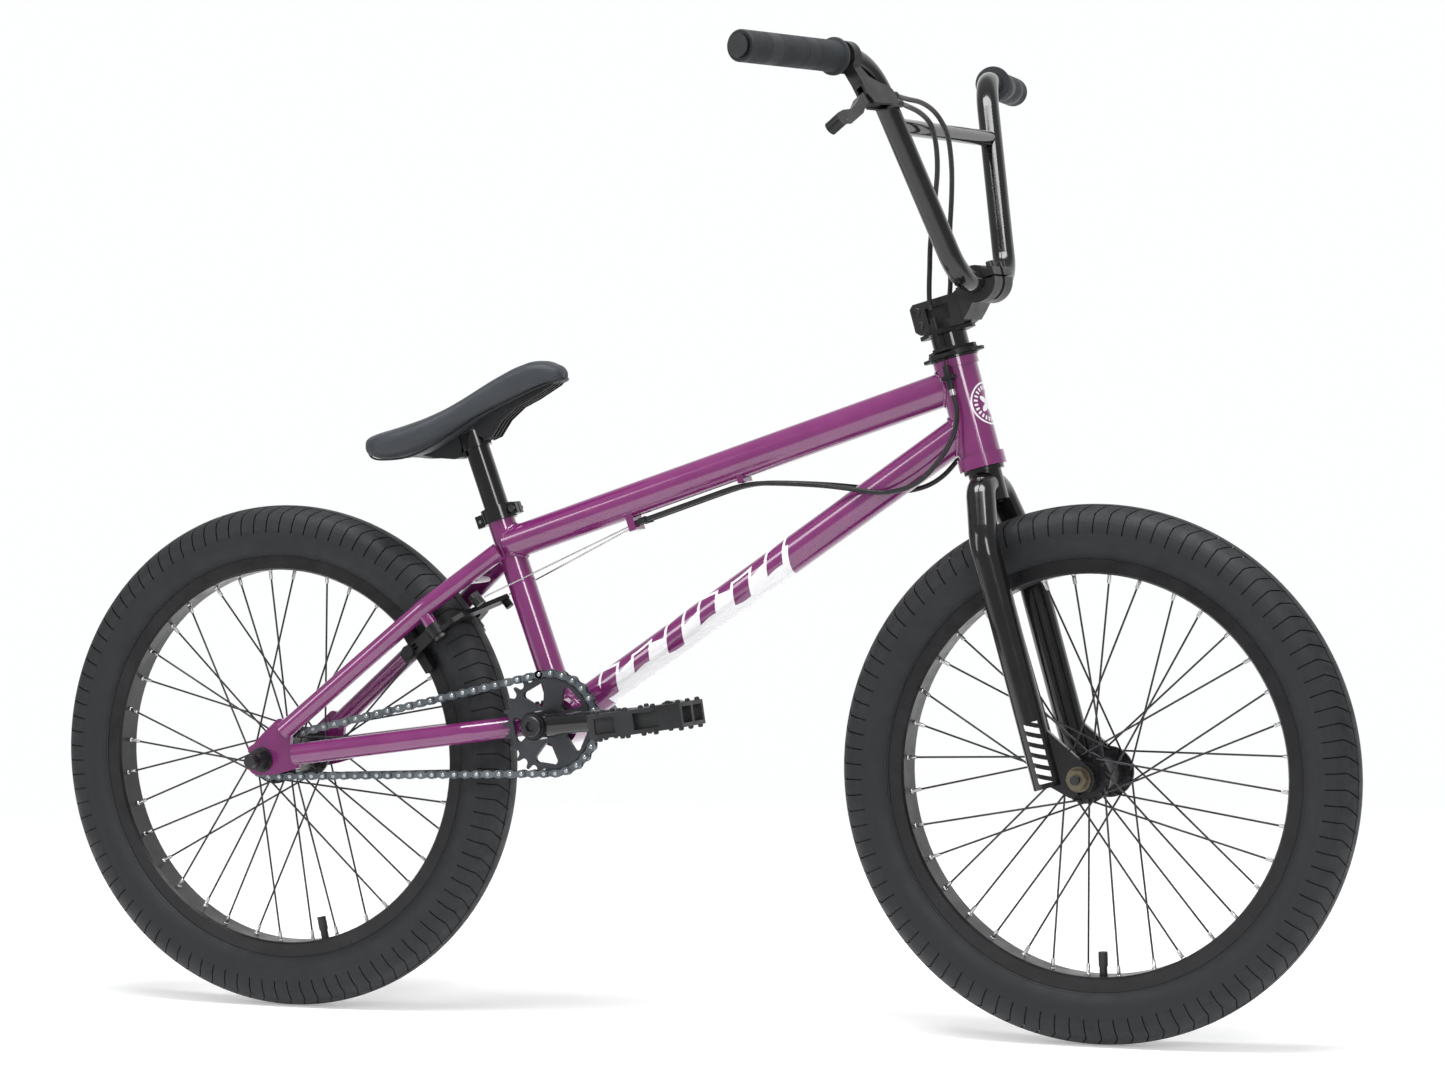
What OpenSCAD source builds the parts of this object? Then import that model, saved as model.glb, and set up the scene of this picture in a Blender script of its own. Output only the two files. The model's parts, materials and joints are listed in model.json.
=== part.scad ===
// BMX bike with a detangler brake: frame, fork, wheels, drivetrain, brake and controls.
// Millimetres. +X is forward, +Y is the rider's left, +Z is up. The origin is on the ground,
// midway between the two wheel axles. The chain is on the right, at negative Y.

/* [Wheels] */
// Outer radius of both tyres
tyre_r = 262; // [258:1:264]
// Radius of the tyre's round section
tyre_section_r = 29.5; // [27:0.5:30]
// Distance between the two axles
wheelbase = 889.6; // [885:0.2:895]
// Radius of the rim's outer edge
rim_r = 209.5; // [209:0.5:210]
// Width of the rim
rim_w = 36; // [35:0.5:37]
// Diameter of a spoke
spoke_d = 2.0; // [1.8:0.1:2.2]
// Distance between the front fork ends
front_old = 100; // [100:1:101]
// Distance between the rear dropouts
rear_old = 110; // [110:1:111]

/* [Frame] */
// Height of the crank spindle above the ground
crank_height = 304.6; // [303:0.2:306]
// Outer diameter of the top tube
top_tube_d = 34; // [32:1:35]
// Outer diameter of the down tube
down_tube_d = 35; // [33:1:36]
// Outer diameter of the seat tube
seat_tube_d = 28.6; // [28.6:0.1:29]
// Outer diameter of the seat stays
seat_stay_d = 19; // [17:0.5:19]
// Outer diameter of the chain stays
chain_stay_d = 22; // [20:0.5:22]
// Lean of the head tube from vertical, in degrees
head_lean = 15; // [14.5:0.1:15.5]
// Length of the head tube
head_tube_l = 110; // [109:1:111]

/* [Cockpit] */
// Diameter of the handlebar tube
bar_d = 22.2; // [22.0:0.1:22.4]
// Height of the bar end above the stem clamp, along the steering axis
bar_rise = 227; // [220:1:230]
// Half of the handlebar's width
bar_half_w = 369; // [360:1:370]
// Reach of the stem from the steering axis to the bar
stem_reach = 49; // [48:0.5:50]
// Diameter of a grip
grip_d = 30; // [28:0.5:32]

/* [Drivetrain] */
// Teeth on the sprocket
sprocket_teeth = 25; // [25:1:25]
// Teeth on the rear driver
driver_teeth = 9; // [9:1:9]
// Length of a crank arm between its centres
crank_l = 150; // [145:1:160]
// Angle of the right crank above horizontal, in degrees
crank_angle = 5.3; // [0:0.1:10]
// Tilt of the pedals above horizontal, in degrees
pedal_tilt = 8; // [0:0.5:10]

/* [Hidden] */

$fn = 64;
eps = 0.01;
running = 0.05;             // radial clearance of a turning fit

paint = "#8c2f78";
black = "#1d1e20";
plastic = "#2a2c2e";
rubber = "#26282c";
steel = "#8f9498";
zinc = "#a39a7c";

// ---- wheels ----
front_x = wheelbase / 2;
rear_x = -wheelbase / 2;
axle_z = tyre_r;
tyre_ring_r = tyre_r - tyre_section_r;
tyre_wall = 4.5;
tread_extra = 0.5;          // how much thicker the tread is than the side walls
bead_r = 203.2;             // where the tyre's beads sit on the rim
bead_w = 29.8;
rim_inner_r = 195;
spokes_a_side = 18;
spoke_lace = 3 * 360 / spokes_a_side;   // three crossings
front_flange = [36, 25, 22.2];          // half spacing, radius, radius of the spoke holes
rear_flange_right = 32;
rear_flange_left = 37;
rear_flange = [0, 27, 24.2];
flange_t = 3;
front_valve = -88.8;        // direction of each valve, in degrees from forward
rear_valve = -78.5;
front_lace = front_valve + 5;           // direction of one right-hand spoke hole in the rim
rear_lace = rear_valve + 5;
front_axle_r = 4.8;
rear_axle_r = 7;
front_axle_end_r = 4.4;     // past the nuts
rear_axle_end_r = 6.5;

// ---- frame, in the side plane [x, z] ----
crank_x = -119;
crank_c = [crank_x, crank_height];
seat_tube_foot = [crank_x - 3.5, crank_height];
seat_tube_lean = 19.4;      // degrees back from vertical
seat_tube_l = 222;
top_tube_rear = [-185.3, 483.3];
top_tube_front = [308.8, 642];
top_tube_slope = atan2(top_tube_front[1] - top_tube_rear[1], top_tube_front[0] - top_tube_rear[0]);
down_tube_rear = [crank_x, 309];
down_tube_front = [320, 601.5];
head_foot = [331, 559];
head_tube_r = 20.5;
head_cup_r = 23.5;
head_cup_h = 13;
bearing_r = 20.9;           // outer radius of a headset bearing
bearing_h = 8;
bb_shell_r = 25;
bb_shell_half = 34;
bb_bearing_r = 20.5;
spindle_r = 11;
dropout_t = 5;
dropout_y = rear_old / 2;   // inner face of a rear dropout
stay_y = dropout_y + 4.5;   // centre of the stays at the dropouts
seat_stay_line = [           // centre line of a seat stay [x, y, z]
  [-419, stay_y, 291.5], [-262, 43, 420], [-188, 19.5, 477]
];
chain_stay_line = [          // centre line of a chain stay
  [-406, stay_y, 268.3], [-216, 46.5, 293], [-176, 30, 298], [-137, 24, 303]
];

// ---- steering, in its own frame: z along the steering axis from the foot of the head tube ----
steerer_r = 14.3;
fork_leg_r = 14.3;
fork_leg_y = 54;
fork_end_z = -317;
fork_end_t = 6;
axle_rel = [front_x - head_foot[0], axle_z - head_foot[1]];
axle_in_fork = [
  axle_rel[0] * cos(head_lean) + axle_rel[1] * sin(head_lean),
  -axle_rel[0] * sin(head_lean) + axle_rel[1] * cos(head_lean)
];
cover_r = 18;
cover_top = head_tube_l + 26;
plate_t = 4;
stem_z = cover_top + plate_t;
stem_h = 31;
bar_r = bar_d / 2;
bar_z = stem_z + stem_h + 4;
bar_bend_y = 65.6;          // where the clamped stretch would meet the leg
bar_shoulder = [163, bar_z + bar_rise - 13];
bar_sweep = 0.2;            // backward run of the grip stretch for each unit of width
bar_up = 0.063;             // upward run for each unit of width
crossbar_z = 326;
cable_y = 27;               // side offset of the two detangler wires
cable_x = -1.5;

// ---- drivetrain ----
chain_pitch = 12.7;
chain_y = -45;
chain_half_h = 4.2;
roller_r = 3.9;
sprocket_r = chain_pitch / 2 / sin(180 / sprocket_teeth);
driver_r = chain_pitch / 2 / sin(180 / driver_teeth);
chain_run = [crank_x - rear_x, crank_height - axle_z];
chain_c = norm(chain_run);
chain_tilt = atan2(chain_run[1], chain_run[0]);
chain_wedge = asin((sprocket_r - driver_r) / chain_c);
chain_up = chain_tilt + 90 + chain_wedge;       // angle of the upper tangent points
chain_down = chain_tilt - 90 - chain_wedge;     // angle of the lower tangent points
sprocket_links = (chain_up - chain_down) / (360 / sprocket_teeth);
driver_links = (360 - chain_up + chain_down) / (360 / driver_teeth);
run_links = chain_c * cos(chain_wedge) / chain_pitch;
chain_links = round(sprocket_links + driver_links + 2 * run_links);
driver_phase = chain_down - (360 / driver_teeth)
  * (ceil(sprocket_links + run_links) - sprocket_links - run_links);
arm_y = 75;                 // centre plane of a crank arm
arm_boss = [50, 86];
pedal_y = [98, 194];
pedal_l = 100;
pedal_h = 24;

// ---- brake, in its own frame: x is the bike's y, y runs up along the stays, z away from them ----
brake_foot = [-262, 420];
stay_slope = 38.75;
pivot = [-43, -4];
pivot_r = 4.5;
pad_at = [-40.5, 25];       // along the stays, and away from them
tip = [30, 47];

// ---- routes of the cables: points chosen by hand ----
lower_route = [
  [310.4, 27, 630.2], [313.4, 27, 619], [313.6, 27, 606], [310, 27, 592], [302, 27, 577], [291, 26.5, 563],
  [279, 26, 551], [264, 25.5, 542], [246, 24.5, 537], [228, 23, 536], [210, 20.5, 538], [190, 17, 540.5],
  [165, 13, 542.8], [140, 11, 544.2], [115, 9, 545], [95, 7.5, 544.8], [78, 7, 542.6], [60, 7, 538],
  [20, 7, 525], [-10, 7, 515.2], [-39, 7, 505.8]
];
upper_route_right = [        // in the steering frame
  [cable_x, -cable_y, 160], [-1, -27, 167], [3, -28, 181.4], [9.4, -30, 199.4], [18.1, -32, 224],
  [37.7, -40, 264.3], [49.7, -50, 285.8], [58, -60, 305.4], [64.3, -75, 321.3], [65.1, -85, 329.9],
  [65.3, -105, 336.5], [64.4, -130, 340.9], [67.3, -153, 340.9]
];
upper_route_left = [
  [cable_x, cable_y, 160], [-1, 27, 167], [6.1, 27, 186.8], [13.2, 24, 209.7], [22.9, 18, 236.1],
  [38.2, 5, 266.2], [51.7, -12, 291.5], [61.8, -30, 315.8], [66.1, -50, 330.1], [67, -70, 340.2],
  [66.3, -95, 346.1], [64.3, -125, 348.2], [64.8, -152, 349.5]
];

// ================= helpers =================

function unit(v) = v / norm(v);
function across(v, t) = unit(v - (v * t) * t);
function mirrored_y(p) = [for (q = p) [q[0], -q[1], q[2]]];

// Corner points of an arc, from angle a0 to a1
function arc(c, r, a0, a1, n = 8) = [for (i = [0:n]) c + r * [cos(a0 + (a1 - a0) * i / n), sin(a0 + (a1 - a0) * i / n)]];

// A solid round bar between two points, straight or tapered
module rod(p, q, r, r2 = undef) {
  v = q - p;
  translate(p) rotate([0, acos(v[2] / norm(v)), atan2(v[1], v[0])])
    cylinder(h = norm(v), r1 = r, r2 = is_undef(r2) ? r : r2);
}

// A solid round bar along corner points, with a true arc of the given bend radius at each inner corner
module bent_rod(p, bend, r) {
  n = len(p);
  dirs = [for (i = [0:n - 2]) unit(p[i + 1] - p[i])];
  turns = [for (i = [0:n - 3]) acos(dirs[i] * dirs[i + 1])];
  cut = concat([1], [for (i = [0:n - 3]) bend[i] * tan(turns[i] / 2)], [1]);
  union() {
    for (i = [0:n - 2]) rod(p[i] + dirs[i] * (cut[i] - 1), p[i + 1] - dirs[i] * (cut[i + 1] - 1), r);
    for (i = [0:n - 3]) {
      inward = across(dirs[i + 1], dirs[i]);
      c = p[i + 1] - dirs[i] * cut[i + 1] + inward * bend[i];
      x = -inward;
      y = dirs[i];
      z = cross(x, y);
      multmatrix([[x[0], y[0], z[0], c[0]], [x[1], y[1], z[1], c[1]], [x[2], y[2], z[2], c[2]], [0, 0, 0, 1]])
        rotate_extrude(angle = turns[i]) translate([bend[i], 0]) circle(r = r + 0.05);
    }
  }
}

// The same bar as a tube with open ends
module bent_tube(p, bend, r, wall) {
  n = len(p);
  a = p[0] - unit(p[1] - p[0]);
  b = p[n - 1] + unit(p[n - 1] - p[n - 2]);
  longer = concat([a], [for (i = [1:n - 2]) p[i]], [b]);
  difference() {
    bent_rod(p, bend, r);
    bent_rod(longer, bend, r - wall);
  }
}

// Points of a smooth curve through the given ones, with k steps in each stretch
function curve_at(a, b, c, d, t) = 0.5 * (2 * b + t * (c - a) + t * t * (2 * a - 5 * b + 4 * c - d)
  + t * t * t * (3 * b - a - 3 * c + d));
function smooth(p, k) = let (n = len(p)) concat([for (i = [0:n - 2], j = [0:k - 1])
  curve_at(p[max(i - 1, 0)], p[i], p[i + 1], p[min(i + 2, n - 1)], j / k)], [p[n - 1]]);

// A closed skin over rings that all have the same number of points
module skin(rings) {
  m = len(rings[0]);
  n = len(rings);
  sides = [for (i = [0:n - 2], k = [0:m - 1])
    [i * m + k, (i + 1) * m + k, (i + 1) * m + (k + 1) % m, i * m + (k + 1) % m]];
  first = [for (k = [0:m - 1]) k];
  last = [for (k = [m - 1:-1:0]) (n - 1) * m + k];
  polyhedron(points = [for (r = rings) each r], faces = concat(sides, [first, last]), convexity = 8);
}

// A flexible cable of radius r along a route
module cable(route, r, k = 2, sides = 8) {
  p = smooth(route, k);
  n = len(p);
  t = [for (i = [0:n - 1]) unit(p[min(i + 1, n - 1)] - p[max(i - 1, 0)])];
  start = across([0.3, 0.9, 0.1], t[0]);
  normals = [for (i = 0, v = start; i < n; v = i + 1 < n ? across(v, t[i + 1]) : v, i = i + 1) v];
  skin([for (i = [0:n - 1]) [for (s = [0:sides - 1]) let (a = 360 * s / sides)
    p[i] + r * (normals[i] * cos(a) + cross(t[i], normals[i]) * sin(a))]]);
}

// Stands children, drawn about +Z, on the steering axis
module steering() {
  translate([head_foot[0], 0, head_foot[1]]) rotate([0, -head_lean, 0]) children();
}

// Stands children, drawn about +Z, along the seat tube
module along_seat_tube() {
  translate([seat_tube_foot[0], 0, seat_tube_foot[1]]) rotate([0, -seat_tube_lean, 0]) children();
}

// Turns children, drawn about +Z, onto a sideways axis: +Z becomes the bike's right
module on_axle(x, z) {
  translate([x, 0, z]) rotate([90, 0, 0]) children();
}

// Places children in the brake's frame
module brake_frame() {
  c = cos(stay_slope);
  s = sin(stay_slope);
  multmatrix([[0, c, s, brake_foot[0]], [1, 0, 0, 0], [0, s, -c, brake_foot[1]], [0, 0, 0, 1]]) children();
}

// Draws children on the right and again on the left of the bike
module both_sides() {
  children();
  mirror([0, 1, 0]) children();
}

// A flat piece drawn in the side plane, between two distances to the right of the middle
module side_plate(y0, y1) {
  translate([0, -y0, 0]) rotate([90, 0, 0]) linear_extrude(height = y1 - y0) children();
}

module ring(r, bore, h) {
  difference() {
    cylinder(h = h, r = r);
    translate([0, 0, -1]) cylinder(h = h + 2, r = bore);
  }
}

// ================= frame =================

module head_tube_outside() {
  union() {
    cylinder(h = head_tube_l, r = head_tube_r);
    cylinder(h = head_cup_h, r = head_cup_r);
    translate([0, 0, head_tube_l - 8]) cylinder(h = 8, r = 22.3);
  }
}

module head_tube() {
  color(paint) steering() difference() {
    head_tube_outside();
    translate([0, 0, -1]) cylinder(h = head_tube_l + 2, r = 17.5);
    translate([0, 0, -1]) cylinder(h = bearing_h + 1, r = bearing_r);
    translate([0, 0, head_tube_l - bearing_h]) cylinder(h = bearing_h + 1, r = bearing_r);
  }
}

module seat_tube_outside() {
  along_seat_tube() cylinder(h = seat_tube_l, r = seat_tube_d / 2);
}

module bb_shell_outside() {
  on_axle(crank_x, crank_height) translate([0, 0, -bb_shell_half]) cylinder(h = 2 * bb_shell_half, r = bb_shell_r);
}

module top_tube_outside() {
  rod([top_tube_rear[0], 0, top_tube_rear[1]], [top_tube_front[0], 0, top_tube_front[1]], top_tube_d / 2);
}

module down_tube_outside() {
  rod([down_tube_rear[0], 0, down_tube_rear[1]], [down_tube_front[0], 0, down_tube_front[1]], down_tube_d / 2);
}

module top_tube() {
  color(paint) difference() {
    top_tube_outside();
    rod([top_tube_rear[0], 0, top_tube_rear[1]], [top_tube_front[0], 0, top_tube_front[1]], top_tube_d / 2 - 1.2);
    seat_tube_outside();
    steering() head_tube_outside();
  }
}

module down_tube() {
  color(paint) difference() {
    down_tube_outside();
    rod([down_tube_rear[0], 0, down_tube_rear[1]], [down_tube_front[0], 0, down_tube_front[1]],
      down_tube_d / 2 - 1.2);
    bb_shell_outside();
    seat_tube_outside();
    steering() head_tube_outside();
  }
}

module seat_tube() {
  color(paint) difference() {
    seat_tube_outside();
    along_seat_tube() cylinder(h = seat_tube_l + 1, r = 12.75);
    bb_shell_outside();
  }
}

module bottom_bracket_shell() {
  color(paint) on_axle(crank_x, crank_height) difference() {
    translate([0, 0, -bb_shell_half]) cylinder(h = 2 * bb_shell_half, r = bb_shell_r);
    translate([0, 0, -bb_shell_half - 1]) cylinder(h = 2 * bb_shell_half + 2, r = 19);
    for (s = [-1, 1]) translate([0, 0, s * (bb_shell_half - 4.5)]) cylinder(h = 9.02, r = bb_bearing_r, center = true);
  }
}

// The solid that a dropout plate fills, with its slot left whole
module dropout_blank() {
  translate([rear_x, 0, axle_z]) side_plate(dropout_y, dropout_y + dropout_t)
    polygon(concat(
      arc([-6, -6], 10, 200, 270, 5), arc([9, -6], 10, 270, 290, 3),
      [[28, -12], [44, -7.5], [46, 11], [34, 16.5], [36, 36]],
      arc([22, 37], 6, 40, 120, 5), [[1.5, 27], [-9.5, 16]], arc([-10, 9], 6, 130, 190, 4)
    ));
}

module rear_dropouts() {
  color(paint) both_sides() difference() {
    dropout_blank();
    translate([rear_x, 0, axle_z]) side_plate(dropout_y - 1, dropout_y + dropout_t + 1) {
      circle(r = rear_axle_r + 0.1);
      translate([-30, -rear_axle_r - 0.1]) square([30, 2 * rear_axle_r + 0.2]);
    }
  }
}

module seat_stays() {
  color(paint) both_sides() difference() {
    bent_rod(mirrored_y(seat_stay_line), [90], seat_stay_d / 2);
    dropout_blank();
    seat_tube_outside();
    top_tube_outside();
  }
}

module chain_stays() {
  color(paint) both_sides() difference() {
    bent_rod(mirrored_y(chain_stay_line), [40, 40], chain_stay_d / 2);
    dropout_blank();
    bb_shell_outside();
  }
}

module stay_cutters() {
  both_sides() {
    bent_rod(mirrored_y(seat_stay_line), [90], seat_stay_d / 2);
    bent_rod(mirrored_y(chain_stay_line), [40, 40], chain_stay_d / 2);
  }
}

// Bridges between the stays, brake posts, and the cable stop and guide under the top tube
module frame_fittings() {
  color(paint) {
    difference() {
      union() {
        on_axle(-224, 450) cylinder(h = 56, r = 7, center = true);
        on_axle(-160, 298) cylinder(h = 40, r = 7, center = true);
      }
      stay_cutters();
    }
    difference() {
      brake_frame() for (s = [-1, 1]) translate([s * pivot[0], pivot[1], 0]) {
        cylinder(h = 19, r = 7);
        translate([0, 0, 18]) cylinder(h = 15, r = pivot_r);
      }
      stay_cutters();
    }
    difference() {
      for (at = [[-41, 8, 498], [78, 7, 546.2]])
        translate([at[0], 0, at[2]]) rotate([0, -top_tube_slope, 0])
          translate([-at[1] / 2, -11, 0]) cube([at[1], 22, 22]);
      top_tube_outside();
      for (s = [-1, 1]) rod([0, s * 0.58, 523.5], [-90, s * 13.3, 481.9], 1.4);
    }
  }
}

module headset_bearings() {
  color(steel) steering() for (z = [0, head_tube_l - bearing_h]) translate([0, 0, z])
    ring(bearing_r, steerer_r + running, bearing_h);
}

module bottom_bracket_bearings() {
  color(steel) on_axle(crank_x, crank_height) for (s = [-1, 1])
    translate([0, 0, s * (bb_shell_half - 4.5) - 4.5]) ring(bb_bearing_r, spindle_r + running, 9);
}

module rear_axle() {
  color(steel) on_axle(rear_x, axle_z) union() {
    cylinder(h = 146, r = rear_axle_r, center = true);
    cylinder(h = 172, r = rear_axle_end_r, center = true);
    for (s = [0, 1]) mirror([0, 0, s]) translate([0, 0, 73]) cylinder(h = 1, r1 = rear_axle_r, r2 = rear_axle_end_r);
    for (s = [-1, 1]) translate([0, 0, s * (dropout_y - 2.5)]) cylinder(h = 5, r = 10.5, center = true);
  }
}

module axle_nut(bore, y0, hex_h, flange) {
  difference() {
    union() {
      translate([0, 0, y0]) cylinder(h = 2, r = flange);
      translate([0, 0, y0 + 2]) cylinder(h = hex_h, r = flange * 0.84, $fn = 6);
    }
    translate([0, 0, y0 - 1]) cylinder(h = hex_h + 4, r = bore);
  }
}

module rear_axle_nuts() {
  color(steel) both_sides() on_axle(rear_x, axle_z) axle_nut(rear_axle_r, dropout_y + dropout_t, 11, 13);
}

// ---- chain ----

// Angle of the pitch line round a tooth wheel, clockwise from a0
function on_wheel(c, r, a) = c + r * [cos(a), sin(a)];
// Centre of pin number s, counted from the sprocket's upper tangent point
function pin_at(s) =
  let (d = [rear_x, axle_z], a = sprocket_links, b = a + run_links, c = b + driver_links)
  s <= a ? on_wheel(crank_c, sprocket_r, chain_up - s * 360 / sprocket_teeth)
  : s <= b ? let (f = (s - a) / run_links)
      on_wheel(crank_c, sprocket_r, chain_down) * (1 - f) + on_wheel(d, driver_r, chain_down) * f
  : s <= c ? on_wheel(d, driver_r, chain_down - (s - b) * 360 / driver_teeth)
  : let (f = (s - c) / run_links)
      on_wheel(d, driver_r, chain_up) * (1 - f) + on_wheel(crank_c, sprocket_r, chain_up) * f;
// Outline of the chain, grown by g
function chain_outline(g) = concat(
  arc(crank_c, sprocket_r + g, chain_up, chain_down, 36),
  arc([rear_x, axle_z], driver_r + g, chain_down, chain_up - 360, 18)
);

module chain() {
  color(steel) {
    for (y = [chain_y + 1.8, chain_y - 4]) side_plate(-y - 2.2, -y) difference() {
      polygon(chain_outline(chain_half_h));
      polygon(chain_outline(-chain_half_h));
    }
    for (s = [0:chain_links - 1]) let (p = pin_at(s))
      translate([p[0], chain_y, p[1]]) rotate([90, 0, 0])
        cylinder(h = 4.2, r = roller_r, center = true, $fn = 24);
  }
}

// ================= seat =================

module seat_clamp() {
  color(black) along_seat_tube() difference() {
    union() {
      translate([0, 0, seat_tube_l - 7]) cylinder(h = 15, r = 17.5);
      translate([14, -7, seat_tube_l - 6]) cube([10, 14, 12]);
      translate([-26, -3.5, seat_tube_l - 7]) cube([13, 7, 13]);
    }
    translate([0, 0, seat_tube_l - 8]) cylinder(h = 8, r = seat_tube_d / 2);
    translate([0, 0, seat_tube_l - 1]) cylinder(h = 10, r = 12.7);
    translate([0, -1, seat_tube_l - 8]) cube([30, 2, 17]);
    translate([20, 0, seat_tube_l]) rotate([90, 0, 0]) cylinder(h = 40, r = 2.1, center = true);
    translate([-22, 0, seat_tube_l - 0.5]) rotate([90, 0, 0]) cylinder(h = 40, r = 1.8, center = true);
  }
}

seat_head_z = 296;
module seat_post() {
  color(black) along_seat_tube() difference() {
    union() {
      translate([0, 0, 150]) cylinder(h = seat_head_z - 150, r = 12.7);
      translate([0, 0, seat_head_z - 2]) cylinder(h = 17, r = 16);
    }
    translate([0, 0, 149]) cylinder(h = 135, r = 10.6);
    translate([0, 0, 280]) cylinder(h = 40, r = 4.1);
  }
}

// Underside of the seat in the side plane
module seat_base_profile() {
  polygon([
    [-285, 577], [-262, 572.5], [-240, 571], [-233, 573], [-229, 600.5], [-206, 592.5], [-199, 597],
    [-188, 613], [-172, 626], [-155, 634], [-126, 648], [-128, 652], [-160, 642], [-190, 629],
    [-215, 614], [-240, 597], [-262, 584]
  ]);
}

module seat_base_solid() {
  difference() {
    union() {
      side_plate(-13, 13) seat_base_profile();
      along_seat_tube() translate([0, 0, seat_head_z + 15]) cylinder(h = 12, r = 16);
    }
    along_seat_tube() cylinder(h = seat_head_z + 15, r = 16.4);
  }
}

module seat_base() {
  color(plastic) difference() {
    seat_base_solid();
    along_seat_tube() cylinder(h = 400, r = 4.2);
  }
}

// Cross-sections of the cushion: x, top, bottom, half width
seat_rings = [
  [-331, 590, 584, 26], [-325, 595, 577, 46], [-314, 599, 570, 60], [-298, 603, 569, 68], [-273, 611, 571, 66],
  [-249, 620, 581, 58], [-226, 632, 596, 46], [-204, 646, 611, 35], [-181, 659, 623, 28], [-160, 668, 632, 24],
  [-143, 671, 640, 21], [-129, 667, 646, 16], [-119, 658, 650, 8]
];

module seat_padding() {
  color(black) difference() {
    skin([for (s = seat_rings) [for (k = [0:27]) let (a = -k * 360 / 28, c = cos(a), w = sin(a))
      [s[0], s[3] * sign(c) * pow(abs(c), 0.8), (s[1] + s[2]) / 2 + (s[1] - s[2]) / 2 * sign(w) * pow(abs(w), 0.8)]]]);
    seat_base_solid();
    along_seat_tube() translate([0, 0, 250]) cylinder(h = seat_head_z - 222, r = 16.6);
  }
}

// Seat bolt, seat clamp bolt and the two brake pivot bolts
module frame_bolts() {
  color(steel) {
    along_seat_tube() {
      translate([0, 0, seat_head_z - 8]) cylinder(h = 32, r = 3.9);
      translate([20, 0, seat_tube_l]) rotate([90, 0, 0]) {
        cylinder(h = 20, r = 2, center = true);
        translate([0, 0, 7]) cylinder(h = 4, r = 3.4);
        translate([0, 0, -10.5]) cylinder(h = 3.5, r = 3.6, $fn = 6);
      }
    }
    brake_frame() for (s = [-1, 1]) translate([s * pivot[0], pivot[1], 33]) cylinder(h = 4, r = 7.5);
  }
}

// ================= cables on the frame =================

module lower_cable_tabs() {
  color(black) steering() for (s = [-1, 1]) difference() {
    union() {
      translate([cable_x - 6, s > 0 ? 0 : -cable_y - 5, 90]) cube([12, cable_y + 5, 4]);
      translate([cable_x, s * cable_y, 80]) cylinder(h = 24, r = 3.6);
    }
    head_tube_outside();
    translate([cable_x, s * cable_y, 79]) cylinder(h = 26, r = 1.3);
  }
}

module lower_cable_housings() {
  color(black) both_sides() cable(lower_route, 2.5);
}

// Inner wires, the ferrules that end the housings, and the wires down to the brake
module brake_wires() {
  color(steel) {
    steering() for (s = [-1, 1]) translate([cable_x, s * cable_y, 74.2]) ring(3.1, 1.3, 5.8);
    for (s = [-1, 1]) {
      rod([-46.5, s * 7.15, 502], [-200.4, s * 28.9, 430.9], 0.8);
    }
  }
}

// ================= fork and cockpit =================

module fork_steerer() {
  color(black) steering() difference() {
    union() {
      translate([0, 0, -34]) cylinder(h = 202, r = steerer_r);
      translate([0, 0, -34]) cylinder(h = 30, r = 16.5);
      translate([0, 0, -4]) cylinder(h = 3.4, r = 20);
    }
    translate([0, 0, -35]) cylinder(h = 204, r = 11.6);
  }
}

module fork_end_blank() {
  translate([0, 0, 0]) side_plate(front_old / 2, front_old / 2 + fork_end_t)
    polygon(concat(
      [[0, fork_end_z + 3], [0, axle_in_fork[1] + 54], [14, axle_in_fork[1] + 53]],
      arc(axle_in_fork, 15.5, 50, -75, 9),
      [[axle_in_fork[0] - 14, axle_in_fork[1] - 15.2]]
    ));
}

module fork_legs() {
  color(black) steering() both_sides() difference() {
    union() {
      bent_rod([[0, -4, -17], [0, -24, -20], [0, -fork_leg_y, -74], [0, -fork_leg_y, fork_end_z]], [24, 50], fork_leg_r);
      fork_end_blank();
    }
    translate([0, 0, -35]) cylinder(h = 40, r = 16.5);
    translate([-30, -10, -60]) cube([60, 80, 60]);
    translate([-30, -30, -3.4]) cube([60, 60, 20]);
    translate([axle_in_fork[0], 0, axle_in_fork[1]]) side_plate(front_old / 2 - 1, front_old / 2 + fork_end_t + 1) {
      circle(r = front_axle_r + 0.1);
      translate([-front_axle_r - 0.1, -30]) square([2 * front_axle_r + 0.2, 30]);
    }
  }
}

module front_axle() {
  color(steel) on_axle(front_x, axle_z) union() {
    cylinder(h = 132, r = front_axle_r, center = true);
    cylinder(h = 142, r = front_axle_end_r, center = true);
    for (s = [0, 1]) mirror([0, 0, s]) translate([0, 0, 66]) cylinder(h = 0.6, r1 = front_axle_r, r2 = front_axle_end_r);
    for (s = [-1, 1]) translate([0, 0, s * (front_old / 2 - 1)]) cylinder(h = 2, r = 8, center = true);
  }
}

module front_axle_nuts() {
  color(zinc) both_sides() on_axle(front_x, axle_z) axle_nut(front_axle_r, front_old / 2 + fork_end_t, 8, 12.3);
}

module headset_cover() {
  color(black) steering() difference() {
    union() {
      translate([0, 0, head_tube_l + 0.4]) cylinder(h = 1.8, r = head_cup_r);
      translate([0, 0, head_tube_l + 0.4]) cylinder(h = 25.6, r = cover_r);
    }
    cylinder(h = 200, r = steerer_r);
  }
}

clamp_r = 21;
cap_bolt_x = 16.2;
pinch_x = -19;
module stem_profile() {
  polygon(concat(
    [[-25.5, stem_z + 4], [-21.5, stem_z], [21, stem_z], [28, stem_z + 2.5], [35, stem_z + 9]],
    arc([stem_reach, bar_z], clamp_r, -112, -3, 12),
    [[stem_reach - clamp_r, bar_z - 1], [22, stem_z + stem_h], [-21.5, stem_z + stem_h], [-25.5, stem_z + stem_h - 4]]
  ));
}

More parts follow.
